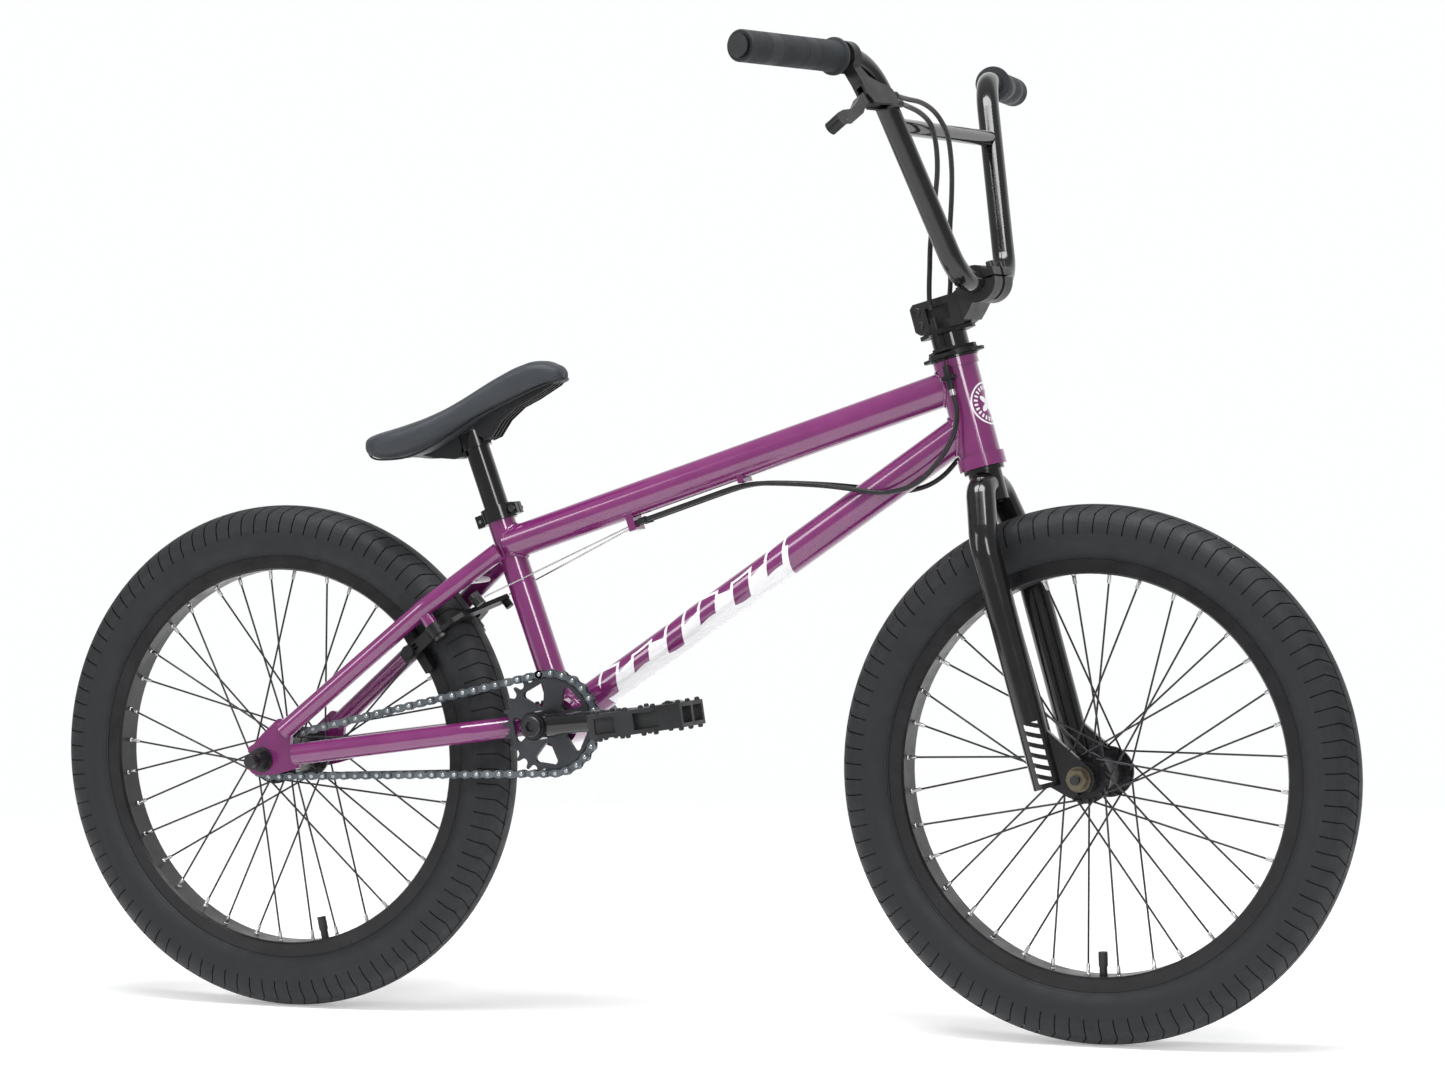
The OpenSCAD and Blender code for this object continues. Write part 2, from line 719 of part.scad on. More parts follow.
module stem() {
  color(black) steering() difference() {
    union() {
      intersection() {
        side_plate(-20, 20) stem_profile();
        translate([-30, -30, 100]) cube([58, 60, 120]);
      }
      intersection() {
        side_plate(-25.5, 25.5) stem_profile();
        translate([28, -30, 100]) cube([60, 60, 120]);
      }
    }
    translate([0, 0, 100]) cylinder(h = 100, r = steerer_r);
    translate([stem_reach, 0, bar_z]) rotate([90, 0, 0]) cylinder(h = 80, r = bar_r, center = true);
    translate([-40, -1.2, 100]) cube([40, 2.4, 100]);
    translate([55, -3.5, 100]) cube([40, 7, 100]);
    for (s = [-1, 1]) {
      translate([2, s * 20, stem_z + 16]) cube([24, 8, 15], center = true);
      translate([pinch_x, 0, stem_z + 16 + s * 7]) rotate([90, 0, 0]) {
        cylinder(h = 60, r = 2.6, center = true);
        translate([0, 0, 15.8]) cylinder(h = 10, r = 4.4);
      }
      for (x = [-cap_bolt_x, cap_bolt_x]) translate([stem_reach + x, s * 15.5, bar_z - 9.5]) cylinder(h = 30, r = 2.3);
    }
  }
}

module stem_cap() {
  color(black) steering() difference() {
    union() {
      intersection() {
        translate([stem_reach, 0, bar_z]) rotate([90, 0, 0]) cylinder(h = 51, r = bar_r + 4.4, center = true);
        translate([0, -40, bar_z + 1]) cube([100, 80, 60]);
      }
      translate([stem_reach - clamp_r, -25.5, bar_z + 1]) cube([2 * clamp_r, 51, 8]);
    }
    translate([stem_reach, 0, bar_z]) rotate([90, 0, 0]) cylinder(h = 80, r = bar_r, center = true);
    translate([stem_reach + 6, -3.5, bar_z]) cube([40, 7, 40]);
    for (s = [-1, 1], x = [-cap_bolt_x, cap_bolt_x]) translate([stem_reach + x, s * 15.5, bar_z - 1])
      cylinder(h = 30, r = 2.3);
  }
}

// Pinch bolts, cap bolts and the compression bolt in the steerer
module stem_bolts() {
  color(black) steering() {
    for (s = [-1, 1]) {
      translate([pinch_x, 0, stem_z + 16 + s * 7]) rotate([90, 0, 0]) {
        cylinder(h = 36, r = 2.5, center = true);
        translate([0, 0, 16]) cylinder(h = 3.5, r = 4.2);
      }
      for (x = [-cap_bolt_x, cap_bolt_x]) translate([stem_reach + x, s * 15.5, 0]) {
        translate([0, 0, bar_z - 9]) cylinder(h = 18, r = 2.2);
        translate([0, 0, bar_z + 9]) cylinder(h = 4.5, r = 4);
      }
    }
    translate([0, 0, 166]) {
      translate([0, 0, 2.2]) cylinder(h = 2.6, r = 13.8);
      translate([0, 0, -24]) cylinder(h = 26.5, r = 11.5);
    }
  }
}

function bar_point(y) = let (f = y - bar_shoulder[0])
  [stem_reach - bar_sweep * f, y, bar_shoulder[1] + bar_up * f];
bar_half = [[stem_reach, 0, bar_z], [stem_reach, bar_bend_y, bar_z], bar_point(bar_shoulder[0]), bar_point(bar_half_w)];
bar_line = concat([for (i = [3, 2, 1]) [bar_half[i][0], -bar_half[i][1], bar_half[i][2]]], [bar_half[1], bar_half[2],
  bar_half[3]]);
bar_bends = [60, 45, 45, 60];

module handlebar() {
  color(black) steering() bent_tube(bar_line, bar_bends, bar_r, 1.8);
}

module handlebar_crossbar() {
  color(black) steering() difference() {
    translate([stem_reach, 0, crossbar_z]) rotate([90, 0, 0]) cylinder(h = 276, r = 8, center = true);
    bent_rod(bar_line, bar_bends, bar_r);
  }
}

// Places children on the grip axis of the left side, with +Z outwards along the bar
module on_bar(y) {
  p = bar_point(y);
  v = unit([-bar_sweep, 1, bar_up]);
  translate(p) rotate([0, acos(v[2]), atan2(v[1], v[0])]) children();
}

module grips() {
  color(rubber) steering() both_sides() mirror([0, 1, 0]) {
    on_bar(216) difference() {
      union() {
        cylinder(h = 154.5, r = grip_d / 2);
        cylinder(h = 3.5, r = grip_d / 2 + 3);
      }
      translate([0, 0, -1]) cylinder(h = 200, r = bar_r);
    }
  }
}

module bar_end_plugs() {
  color(plastic) steering() both_sides() mirror([0, 1, 0]) on_bar(bar_half_w) union() {
    translate([0, 0, 0.2]) cylinder(h = 1.8, r = bar_r - 0.4);
    translate([0, 0, -14]) cylinder(h = 14.3, r = bar_r - 1.8);
  }
}

// Places children at the lever clamp: x runs inwards along the bar, y away from it, z is the thickness
lever_y = 200;
lever_drop = 20;            // degrees forward from straight down
lever_pivot = [4, 47];
module lever_frame() {
  p = bar_point(lever_y);
  u = unit([bar_sweep, 1, -bar_up]);
  down = across([sin(lever_drop), 0, -cos(lever_drop)], u);
  z = cross(u, down);
  steering() multmatrix([[u[0], down[0], z[0], p[0]], [u[1], down[1], z[1], -p[1]],
    [u[2], down[2], z[2], p[2]], [0, 0, 0, 1]]) children();
}

module brake_lever_perch() {
  color(black) lever_frame() difference() {
    union() {
      rotate([0, 90, 0]) cylinder(h = 12, r = bar_r + 4.5, center = true);
      translate([0, 0, -6]) linear_extrude(height = 12) polygon([
        [-6, 12], [6, 12], [12, 26], [25, 32], [37, 35], [41, 39], [40, 54], [28, 56], [12, 57], [-4, 57], [-9, 47],
        [-6, 30]
      ]);
      for (q = [41, 50.5]) translate([38, q, 0]) rotate([0, 90, 0]) cylinder(h = 14, r = 3.8);
    }
    rotate([0, 90, 0]) cylinder(h = 40, r = bar_r, center = true);
    translate([-14, 36, -3.4]) cube([40, 30, 6.8]);
  }
  color(steel) lever_frame() translate([lever_pivot[0], lever_pivot[1], -6]) cylinder(h = 12, r = 2.5);
}

module brake_lever() {
  color(black) lever_frame() difference() {
    union() {
      translate([0, 0, -3]) linear_extrude(height = 6) polygon([
        [-6, 42], [4, 39.5], [14, 41], [19, 46], [19, 53], [10, 55.5], [-2, 56.5], [-14, 57]
      ]);
      translate([0, 0, -4.5]) linear_extrude(height = 9) polygon([
        [-13.2, 45], [-22, 49], [-36, 59], [-52, 67], [-67, 69], [-79, 73], [-87, 79], [-90, 86], [-84, 89],
        [-76, 82], [-65, 78.5], [-50, 77.5], [-34, 70.5], [-22, 61], [-13.2, 57]
      ]);
      translate([-85, 83, -8]) cylinder(h = 16, r = 6.5);
    }
    translate([lever_pivot[0], lever_pivot[1], -10]) cylinder(h = 20, r = 2.5 + running);
  }
}

// ---- detangler ----

module plate_outline(x, y) {
  polygon([[x, -4], [x, 4], [14, 16], [6, y], [-9, y], [-14, 16], [-x, 4], [-x, -4], [-14, -16], [-9, -y], [6, -y],
    [14, -16]]);
}

module upper_cable_plate() {
  color(black) steering() difference() {
    union() {
      translate([0, 0, cover_top]) linear_extrude(height = plate_t) plate_outline(28, 32);
      for (s = [-1, 1]) translate([cable_x, s * cable_y, cover_top]) cylinder(h = 16, r = 3.6);
    }
    translate([0, 0, 100]) cylinder(h = 100, r = steerer_r);
    for (s = [-1, 1]) translate([cable_x, s * cable_y, 100]) cylinder(h = 100, r = 1.3);
  }
}

module upper_cable_housings() {
  steering() {
    color(black) {
      cable(upper_route_right, 2.5);
      cable(upper_route_left, 2.5);
    }
    color(steel) for (s = [-1, 1]) translate([cable_x, s * cable_y, cover_top + 16]) ring(3.2, 1.3, 8);
  }
}

gyro_z = head_tube_l + 2.6;
module gyro_lower_ring() {
  color(black) steering() difference() {
    union() {
      translate([0, 0, gyro_z]) linear_extrude(height = 3.2) plate_outline(31, 32);
      for (s = [-1, 1]) translate([cable_x, s * cable_y, 92]) cylinder(h = gyro_z - 91, r = 0.8);
    }
    translate([0, 0, 100]) cylinder(h = 100, r = 21.2);
    translate([0, 0, gyro_z + 3.2]) cylinder(h = 20, r = 40);
  }
  color(black) steering() translate([0, 0, gyro_z]) ring(25, 21.2, 5);
}

module gyro_upper_ring() {
  color(black) steering() union() {
    translate([0, 0, gyro_z + 0.6]) ring(21.15, cover_r + 0.3, 8);
    translate([0, 0, gyro_z + 5.6]) difference() {
      linear_extrude(height = 3) plate_outline(24, 32);
      translate([0, 0, -1]) cylinder(h = 9, r = 20);
    }
    for (s = [-1, 1]) translate([cable_x, s * cable_y, gyro_z + 8]) cylinder(h = 22, r = 0.8);
  }
}

// ================= wheels =================

module tyre_section() {
  difference() {
    union() {
      translate([tyre_ring_r, 0]) circle(r = tyre_section_r);
      translate([bead_r, -bead_w / 2]) square([10, bead_w]);
    }
    translate([tyre_ring_r - tread_extra, 0]) circle(r = tyre_section_r - tyre_wall);
    translate([180, -40]) square([bead_r - 180, 80]);
    for (s = [-1, 1]) translate([190, s > 0 ? bead_w / 2 : -bead_w / 2 - 20]) square([rim_r + 0.2 - 190, 20]);
    translate([190, -10.5]) square([20, 21]);
  }
}

module tyre(x) {
  color(rubber) on_axle(x, axle_z) rotate_extrude($fn = 128) tyre_section();
}

module rim(x, valve) {
  half = rim_w / 2;
  color(black) on_axle(x, axle_z) difference() {
    rotate_extrude($fn = 128) difference() {
      polygon([
        [rim_r, half], [rim_inner_r + 2, half], [rim_inner_r, half - 3], [rim_inner_r, 3 - half],
        [rim_inner_r + 2, -half], [rim_r, -half], [rim_r, -half + 2.8], [bead_r, -bead_w / 2 - 0.1], [bead_r, -10],
        [bead_r - 2.4, -8], [bead_r - 2.4, 8], [bead_r, 10], [bead_r, bead_w / 2 + 0.1], [rim_r, half - 2.8]
      ]);
      translate([rim_inner_r + 1.6, -half + 4]) square([2.6, 2 * half - 8]);
    }
    rotate([0, 0, valve]) rotate([0, 90, 0]) cylinder(h = 260, r = 4.2);
  }
}

// Inner tube with its valve, which points at the hub
module inner_tube(x, valve) {
  color(rubber) on_axle(x, axle_z) union() {
    rotate_extrude($fn = 96) translate([tyre_ring_r - tread_extra, 0]) difference() {
      circle(r = 24);
      circle(r = 22.5);
    }
    rotate([0, 0, valve]) rotate([0, 90, 0]) {
      translate([0, 0, 180]) cylinder(h = 37, r = 3.9);
      translate([0, 0, 172]) cylinder(h = 14, r = 4.6);
    }
  }
}

// One laced side: spoke holes at radius hole_r, flange at y
module laced_side(y, hole_r, turn) {
  side = sign(y);
  r = spoke_d / 2;
  for (j = [0:spokes_a_side / 2 - 1], out = [-1, 1]) {
    hub_a = turn + 40 * j + (out > 0 ? 20 : 0);
    rim_a = hub_a - out * spoke_lace;
    y0 = y + side * (out > 0 ? flange_t / 2 + 2.1 : -flange_t / 2 - 1.1);
    y1 = y - side * out * (flange_t / 2 + 1.4);
    a = [hole_r * cos(hub_a), hole_r * sin(hub_a)];
    b = [(rim_inner_r - 0.1) * cos(rim_a), (rim_inner_r - 0.1) * sin(rim_a)];
    union() {
      rod([a[0], a[1], y0], [b[0], b[1], side * 4], r, $fn = 16);
      rod([a[0], a[1], y0], [a[0], a[1], y1], r, $fn = 16);
      rod([a[0], a[1], y1 + side * out * 0.3], [a[0], a[1], y1 - side * out * 1], 2, $fn = 16);
    }
  }
}

module flange(y, outer_r, hole_r, turn) {
  translate([0, 0, y]) difference() {
    cylinder(h = flange_t, r = outer_r, center = true);
    for (i = [0:spokes_a_side - 1]) rotate([0, 0, turn + i * 20]) translate([hole_r, 0, 0])
      cylinder(h = 10, r = spoke_d / 2 + 0.3, center = true, $fn = 16);
  }
}

module front_spokes() {
  color(black) on_axle(front_x, axle_z) {
    laced_side(front_flange[0], front_flange[2], front_lace);
    laced_side(-front_flange[0], front_flange[2], front_lace + 10);
  }
}

module rear_spokes() {
  color(black) on_axle(rear_x, axle_z) {
    laced_side(rear_flange_right, rear_flange[2], rear_lace);
    laced_side(-rear_flange_left, rear_flange[2], rear_lace + 10);
  }
}

// Hub shell with two bearings; local +Z is the bike's right
module hub(low, high, body_r, flanges, f, bearing, bore, lace) {
  color(black) difference() {
    union() {
      translate([0, 0, low]) cylinder(h = high - low, r = body_r);
      for (i = [0, 1]) flange(flanges[i], f[1], f[2], lace + i * 10);
    }
    translate([0, 0, low - 1]) cylinder(h = high - low + 2, r = bore + 1.5);
    for (z = [low, high - 8]) translate([0, 0, z - eps]) cylinder(h = 8 + 2 * eps, r = bearing);
  }
  color(steel) for (z = [low, high - 8]) translate([0, 0, z]) ring(bearing, bore + running, 8);
}

module front_hub() {
  on_axle(front_x, axle_z) hub(-47.5, 47.5, 15.5, [front_flange[0], -front_flange[0]], front_flange, 12, front_axle_r,
    front_lace);
}

module rear_hub() {
  on_axle(rear_x, axle_z) hub(-49.5, 37, 19, [rear_flange_right, -rear_flange_left], rear_flange, 15, rear_axle_r,
    rear_lace);
}

// A tooth wheel cut for the chain's rollers, each gap flaring out to the pointed tooth tips
module tooth_wheel(teeth, r, phase, thick, tip_r, flare) {
  linear_extrude(height = thick, center = true) difference() {
    circle(r = tip_r);
    for (i = [0:teeth - 1]) rotate(phase + i * 360 / teeth) translate([r, 0]) {
      circle(r = roller_r + 0.25, $fn = 24);
      polygon([[-0.5, -roller_r - 0.2], [tip_r - r, -roller_r - 0.2 - flare], [tip_r - r + 2, -roller_r - flare],
        [tip_r - r + 2, roller_r + flare], [tip_r - r, roller_r + 0.2 + flare], [-0.5, roller_r + 0.2]]);
    }
  }
}

module driver_cog() {
  color(steel) on_axle(rear_x, axle_z) difference() {
    union() {
      translate([0, 0, -chain_y]) tooth_wheel(driver_teeth, driver_r, driver_phase, 2.8, driver_r + 2.2, 2.4);
      translate([0, 0, 37.4]) cylinder(h = 12, r = 13.5);
    }
    cylinder(h = 100, r = rear_axle_r + running);
  }
}

// ================= cranks =================

module crank_frame() {
  on_axle(crank_x, crank_height) rotate([0, 0, crank_angle]) children();
}

module sprocket() {
  color(black) on_axle(crank_x, crank_height) difference() {
    union() {
      translate([0, 0, -chain_y]) tooth_wheel(sprocket_teeth, sprocket_r, chain_up, 2.8, sprocket_r + 3, 1.7);
      translate([0, 0, -chain_y - 2.5]) cylinder(h = 5, r = sprocket_r - 5.2);
    }
    cylinder(h = 100, r = spindle_r);
    for (i = [0:4]) rotate([0, 0, 47 + i * 72]) translate([0, 0, 30]) linear_extrude(height = 30)
      polygon(concat(arc([36.5, 8], 4.5, -20, 100, 5), arc([24, 0], 4.5, 130, 230, 5), arc([36.5, -8], 4.5, -100, 20, 5)));
  }
}

module crank_spindle() {
  color(steel) on_axle(crank_x, crank_height) difference() {
    union() {
      cylinder(h = 160, r = spindle_r, center = true);
      for (s = [-1, 1]) translate([0, 0, s * (bb_shell_half + 4)]) cylinder(h = 7.6, r = 14, center = true);
    }
    for (s = [-1, 1]) translate([0, 0, s * 80]) cylinder(h = 50, r = 7, center = true);
  }
}

// One arm towards +X, on the local +Z side
module crank_arm() {
  difference() {
    union() {
      translate([0, 0, arm_boss[0]]) cylinder(h = arm_boss[1] - arm_boss[0], r = 14.5);
      rod([0, 0, arm_y], [crank_l, 0, arm_y], 10.8, 10);
      translate([crank_l, 0, arm_y - 12]) cylinder(h = 24, r = 14);
    }
    translate([0, 0, arm_boss[0] - 1]) cylinder(h = 60, r = spindle_r);
    translate([crank_l, 0, 50]) cylinder(h = 60, r = 7);
  }
}

module right_crank_arm() {
  color(black) crank_frame() crank_arm();
}

module left_crank_arm() {
  color(black) crank_frame() rotate([0, 0, 180]) mirror([0, 0, 1]) crank_arm();
}

// Spindle bolts, the sprocket bolt and the two pedal axles
module crank_bolts() {
  color(steel) crank_frame() {
    for (s = [0, 1]) mirror([0, 0, s]) rotate([0, 0, s * 180]) {
      translate([0, 0, arm_boss[1]]) cylinder(h = 3, r = 12.5);
      translate([0, 0, 62]) cylinder(h = 27, r = 7);
      translate([crank_l, 0, arm_y - 12]) cylinder(h = 24, r = 7);
      translate([crank_l, 0, arm_y + 12]) cylinder(h = 4, r = 9);
      translate([crank_l, 0, arm_y + 16]) cylinder(h = pedal_y[1] - arm_y - 24, r = 5);
    }
  }
}

// Platform pedal about the local Z axis, with its treads above and below
module pedal_body() {
  w = pedal_y[1] - pedal_y[0];
  l = pedal_l / 2;
  h = pedal_h / 2;
  difference() {
    translate([0, 0, pedal_y[0]]) rotate([90, 0, 0]) linear_extrude(height = pedal_h, center = true)
      polygon([[-l, 16], [-l, w - 24], [-30, w], [30, w], [l, w - 24], [l, 16], [l - 10, 0], [10 - l, 0]]);
    for (s = [-1, 1]) {
      translate([s > 0 ? 15 : -39, -h - 1, pedal_y[0] + 10]) cube([24, pedal_h + 2, w - 26]);
      for (z = [20, 46]) translate([s > 0 ? 30 : -60, -8, pedal_y[0] + z]) cube([30, 16, 21]);
      translate([s > 0 ? 10 : -34, -8, pedal_y[1] - 6]) cube([24, 16, 10]);
    }
    translate([0, 0, pedal_y[0] - 1]) cylinder(h = w - 4, r = 5 + running);
  }
}

module pedal_frame(side) {
  translate([crank_x + side * crank_l * cos(crank_angle), 0, crank_height + side * crank_l * sin(crank_angle)])
    mirror([0, side > 0 ? 0 : 1, 0]) rotate([90, 0, 0]) rotate([0, 0, pedal_tilt]) children();
}

module right_pedal() {
  color(plastic) pedal_frame(1) pedal_body();
}

module left_pedal() {
  color(plastic) pedal_frame(-1) pedal_body();
}

// ================= brake =================

// One arm of the right side, whose blade crosses over the tyre at height n
module brake_arm(n) {
  difference() {
    union() {
      translate([pivot[0], pivot[1], 19.4]) cylinder(h = 13.2, r = 9);
      translate([-46.5, -51, 19.6]) cube([7, 46, 12.9]);
      translate([0, 0, n]) linear_extrude(height = 5) polygon([
        [-51.5, -4], [-43, 18], [-34, 27], [tip[0], tip[1] + 6], [tip[0] + 6, tip[1]], [tip[0] + 2, tip[1] - 6],
        [-31, 15], [-34.5, -4]
      ]);
      translate([tip[0], tip[1], n]) cylinder(h = 13, r = 4.5);
    }
    translate([pivot[0], pivot[1], 0]) cylinder(h = 60, r = pivot_r + running);
    translate([-50, pad_at[0] - 3.2, pad_at[1] - 3.2]) cube([14, 14, 6.4]);
  }
  translate([0, pad_at[0], pad_at[1]]) {
    rotate([0, 90, 0]) translate([0, 0, -46.6]) cylinder(h = 17, r = 3);
    rotate([0, 90, 0]) translate([0, 0, -51.5]) cylinder(h = 5, r = 6.5);
    rotate([4.6, 0, 0]) translate([-30, -5, -25]) cube([9.5, 10, 50]);
  }
}

module right_brake_arm() {
  color(black) brake_frame() brake_arm(27.4);
}

module left_brake_arm() {
  color(black) brake_frame() mirror([1, 0, 0]) brake_arm(20.4);
}

// ================= one line for each node =================

head_tube();
top_tube();
down_tube();
seat_tube();
bottom_bracket_shell();
seat_stays();
chain_stays();
rear_dropouts();
frame_fittings();
headset_bearings();
bottom_bracket_bearings();
seat_clamp();
seat_post();
seat_base();
seat_padding();
frame_bolts();
rear_axle();
rear_axle_nuts();
chain();
lower_cable_housings();
brake_wires();
lower_cable_tabs();
fork_steerer();
fork_legs();
headset_cover();
stem();
stem_cap();
stem_bolts();
handlebar();
handlebar_crossbar();
grips();
bar_end_plugs();
brake_lever_perch();
upper_cable_plate();
upper_cable_housings();
front_axle();
front_axle_nuts();
brake_lever();
gyro_upper_ring();
gyro_lower_ring();
front_hub();
front_spokes();
rim(front_x, front_valve);  // front_rim
tyre(front_x);  // front_tyre
inner_tube(front_x, front_valve);  // front_inner_tube
rear_hub();
rear_spokes();
rim(rear_x, rear_valve);  // rear_rim
tyre(rear_x);  // rear_tyre
inner_tube(rear_x, rear_valve);  // rear_inner_tube
driver_cog();
crank_spindle();
right_crank_arm();
left_crank_arm();
sprocket();
crank_bolts();
right_pedal();
left_pedal();
right_brake_arm();
left_brake_arm();
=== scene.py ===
"""Looks for a small-wheeled freestyle bike with a detangler rear brake.

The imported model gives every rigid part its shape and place. This script adds the parts that need finer
work than that (treads, chain links, saddle, grips, cables, welds, nipples, socket bolts), dresses
everything in procedural finishes, and lights it on a pale floor.
"""

from __future__ import annotations

import json
import logging
import math
from dataclasses import dataclass, field
from enum import Enum
from typing import Any, Callable, Iterable, Sequence

import bmesh
import bpy
from mathutils import Matrix, Vector
from mathutils.bvhtree import BVHTree

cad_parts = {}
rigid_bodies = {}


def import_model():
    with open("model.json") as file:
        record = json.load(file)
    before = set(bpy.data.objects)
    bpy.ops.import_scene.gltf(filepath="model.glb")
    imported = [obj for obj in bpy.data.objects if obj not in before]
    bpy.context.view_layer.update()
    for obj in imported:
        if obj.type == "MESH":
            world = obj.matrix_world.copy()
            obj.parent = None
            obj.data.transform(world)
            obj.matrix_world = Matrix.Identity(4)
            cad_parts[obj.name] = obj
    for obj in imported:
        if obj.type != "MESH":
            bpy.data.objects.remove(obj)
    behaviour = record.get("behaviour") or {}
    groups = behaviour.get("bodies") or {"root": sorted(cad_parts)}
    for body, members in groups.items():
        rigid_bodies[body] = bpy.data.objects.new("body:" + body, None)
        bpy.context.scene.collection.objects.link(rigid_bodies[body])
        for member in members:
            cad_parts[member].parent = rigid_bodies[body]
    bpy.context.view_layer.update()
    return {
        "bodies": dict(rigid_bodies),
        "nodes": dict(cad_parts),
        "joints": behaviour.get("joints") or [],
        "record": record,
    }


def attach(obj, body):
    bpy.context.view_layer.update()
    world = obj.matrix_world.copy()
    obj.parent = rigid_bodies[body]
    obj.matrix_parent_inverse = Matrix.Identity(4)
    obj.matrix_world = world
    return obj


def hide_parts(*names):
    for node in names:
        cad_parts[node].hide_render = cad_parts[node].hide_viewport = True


log = logging.getLogger("bike")
Color = tuple[float, float, float]
MM = 0.001

# The steering axis leans back from the foot of the head tube.
HEAD_FOOT = Vector((0.331, 0.0, 0.559))
HEAD_LEAN = math.radians(15.0)
STEER = Matrix.Translation(HEAD_FOOT) @ Matrix.Rotation(-HEAD_LEAN, 4, "Y")
SEAT_FOOT = Vector((-0.1225, 0.0, 0.3046))
SEAT_LEAN = math.radians(19.4)
SEAT_TUBE = Matrix.Translation(SEAT_FOOT) @ Matrix.Rotation(-SEAT_LEAN, 4, "Y")
CRANK = Vector((-0.119, 0.0, 0.3046))
FRONT_AXLE = Vector((0.4448, 0.0, 0.262))
REAR_AXLE = Vector((-0.4448, 0.0, 0.262))
# The down tube's rear end on its axis, and its direction in the side plane.
DOWN_TUBE_REAR = Vector((-0.119, 0.0, 0.309))
DOWN_TUBE_WAY = (0.8322, 0.5545)
# The tyre's section is a circle round this ring, in millimetres. The floor of its slots is in metres; the
# rubber below it is painted in shade.
TYRE_RING_R = 232.5
SLOT_FLOOR_R = 0.02845

# Centre lines of the cable housings, in millimetres: the left lower one in the bike's frame, and the two
# upper ones in the steering frame.
LOWER_ROUTE = [
    (310.4, 27, 630.2), (313.4, 27, 619), (313.6, 27, 606), (310, 27, 592), (302, 27, 577), (291, 26.5, 563),
    (279, 26, 551), (264, 25.5, 542), (246, 24.5, 537), (228, 23, 536), (210, 20.5, 538), (190, 17, 540.5),
    (165, 13, 542.8), (140, 11, 544.2), (115, 9, 545), (95, 7.5, 544.8), (78, 7, 542.6), (60, 7, 538),
    (20, 7, 525), (-10, 7, 515.2), (-39, 7, 505.8),
]
RIGHT_UPPER_ROUTE = [
    (-1.5, -27, 160), (-1, -27, 167), (3, -28, 181.4), (9.4, -30, 199.4), (18.1, -32, 224),
    (37.7, -40, 264.3), (49.7, -50, 285.8), (58, -60, 305.4), (64.3, -75, 321.3), (65.1, -85, 329.9),
    (65.3, -105, 336.5), (64.4, -130, 340.9), (67.3, -153, 340.9),
]
LEFT_UPPER_ROUTE = [
    (-1.5, 27, 160), (-1, 27, 167), (6.1, 27, 186.8), (13.2, 24, 209.7), (22.9, 18, 236.1),
    (38.2, 5, 266.2), (51.7, -12, 291.5), (61.8, -30, 315.8), (66.1, -50, 330.1), (67, -70, 340.2),
    (66.3, -95, 346.1), (64.3, -125, 348.2), (64.8, -152, 349.5),
]


# ---------------------------------------------------------------- shaders


def operator(operation: str, swapped: bool = False) -> Callable[["Sock", Any], "Sock"]:
    """A method that adds one Math node.

    Args:
        operation: Blender's name for what the node does.
        swapped: whether the other value comes first.

    Returns:
        The method, for one of Python's operators.
    """

    def method(self: "Sock", other: Any) -> "Sock":
        """The node's result on this socket and the other value."""
        values = (other, self) if swapped else (self, other)
        return self.shader.math(operation, *values)

    return method


class Sock:
    """A shader socket that takes part in Python arithmetic."""

    def __init__(self, shader: "Shader", socket: bpy.types.NodeSocket) -> None:
        """Wraps one output socket of a shader's tree."""
        self.shader = shader
        self.socket = socket

    __add__ = operator("ADD")
    __radd__ = operator("ADD", swapped=True)
    __sub__ = operator("SUBTRACT")
    __rsub__ = operator("SUBTRACT", swapped=True)
    __mul__ = operator("MULTIPLY")
    __rmul__ = operator("MULTIPLY", swapped=True)
    __truediv__ = operator("DIVIDE")
    __gt__ = operator("GREATER_THAN")
    __lt__ = operator("LESS_THAN")

    def __abs__(self) -> "Sock":
        """Absolute value."""
        return self.shader.math("ABSOLUTE", self)


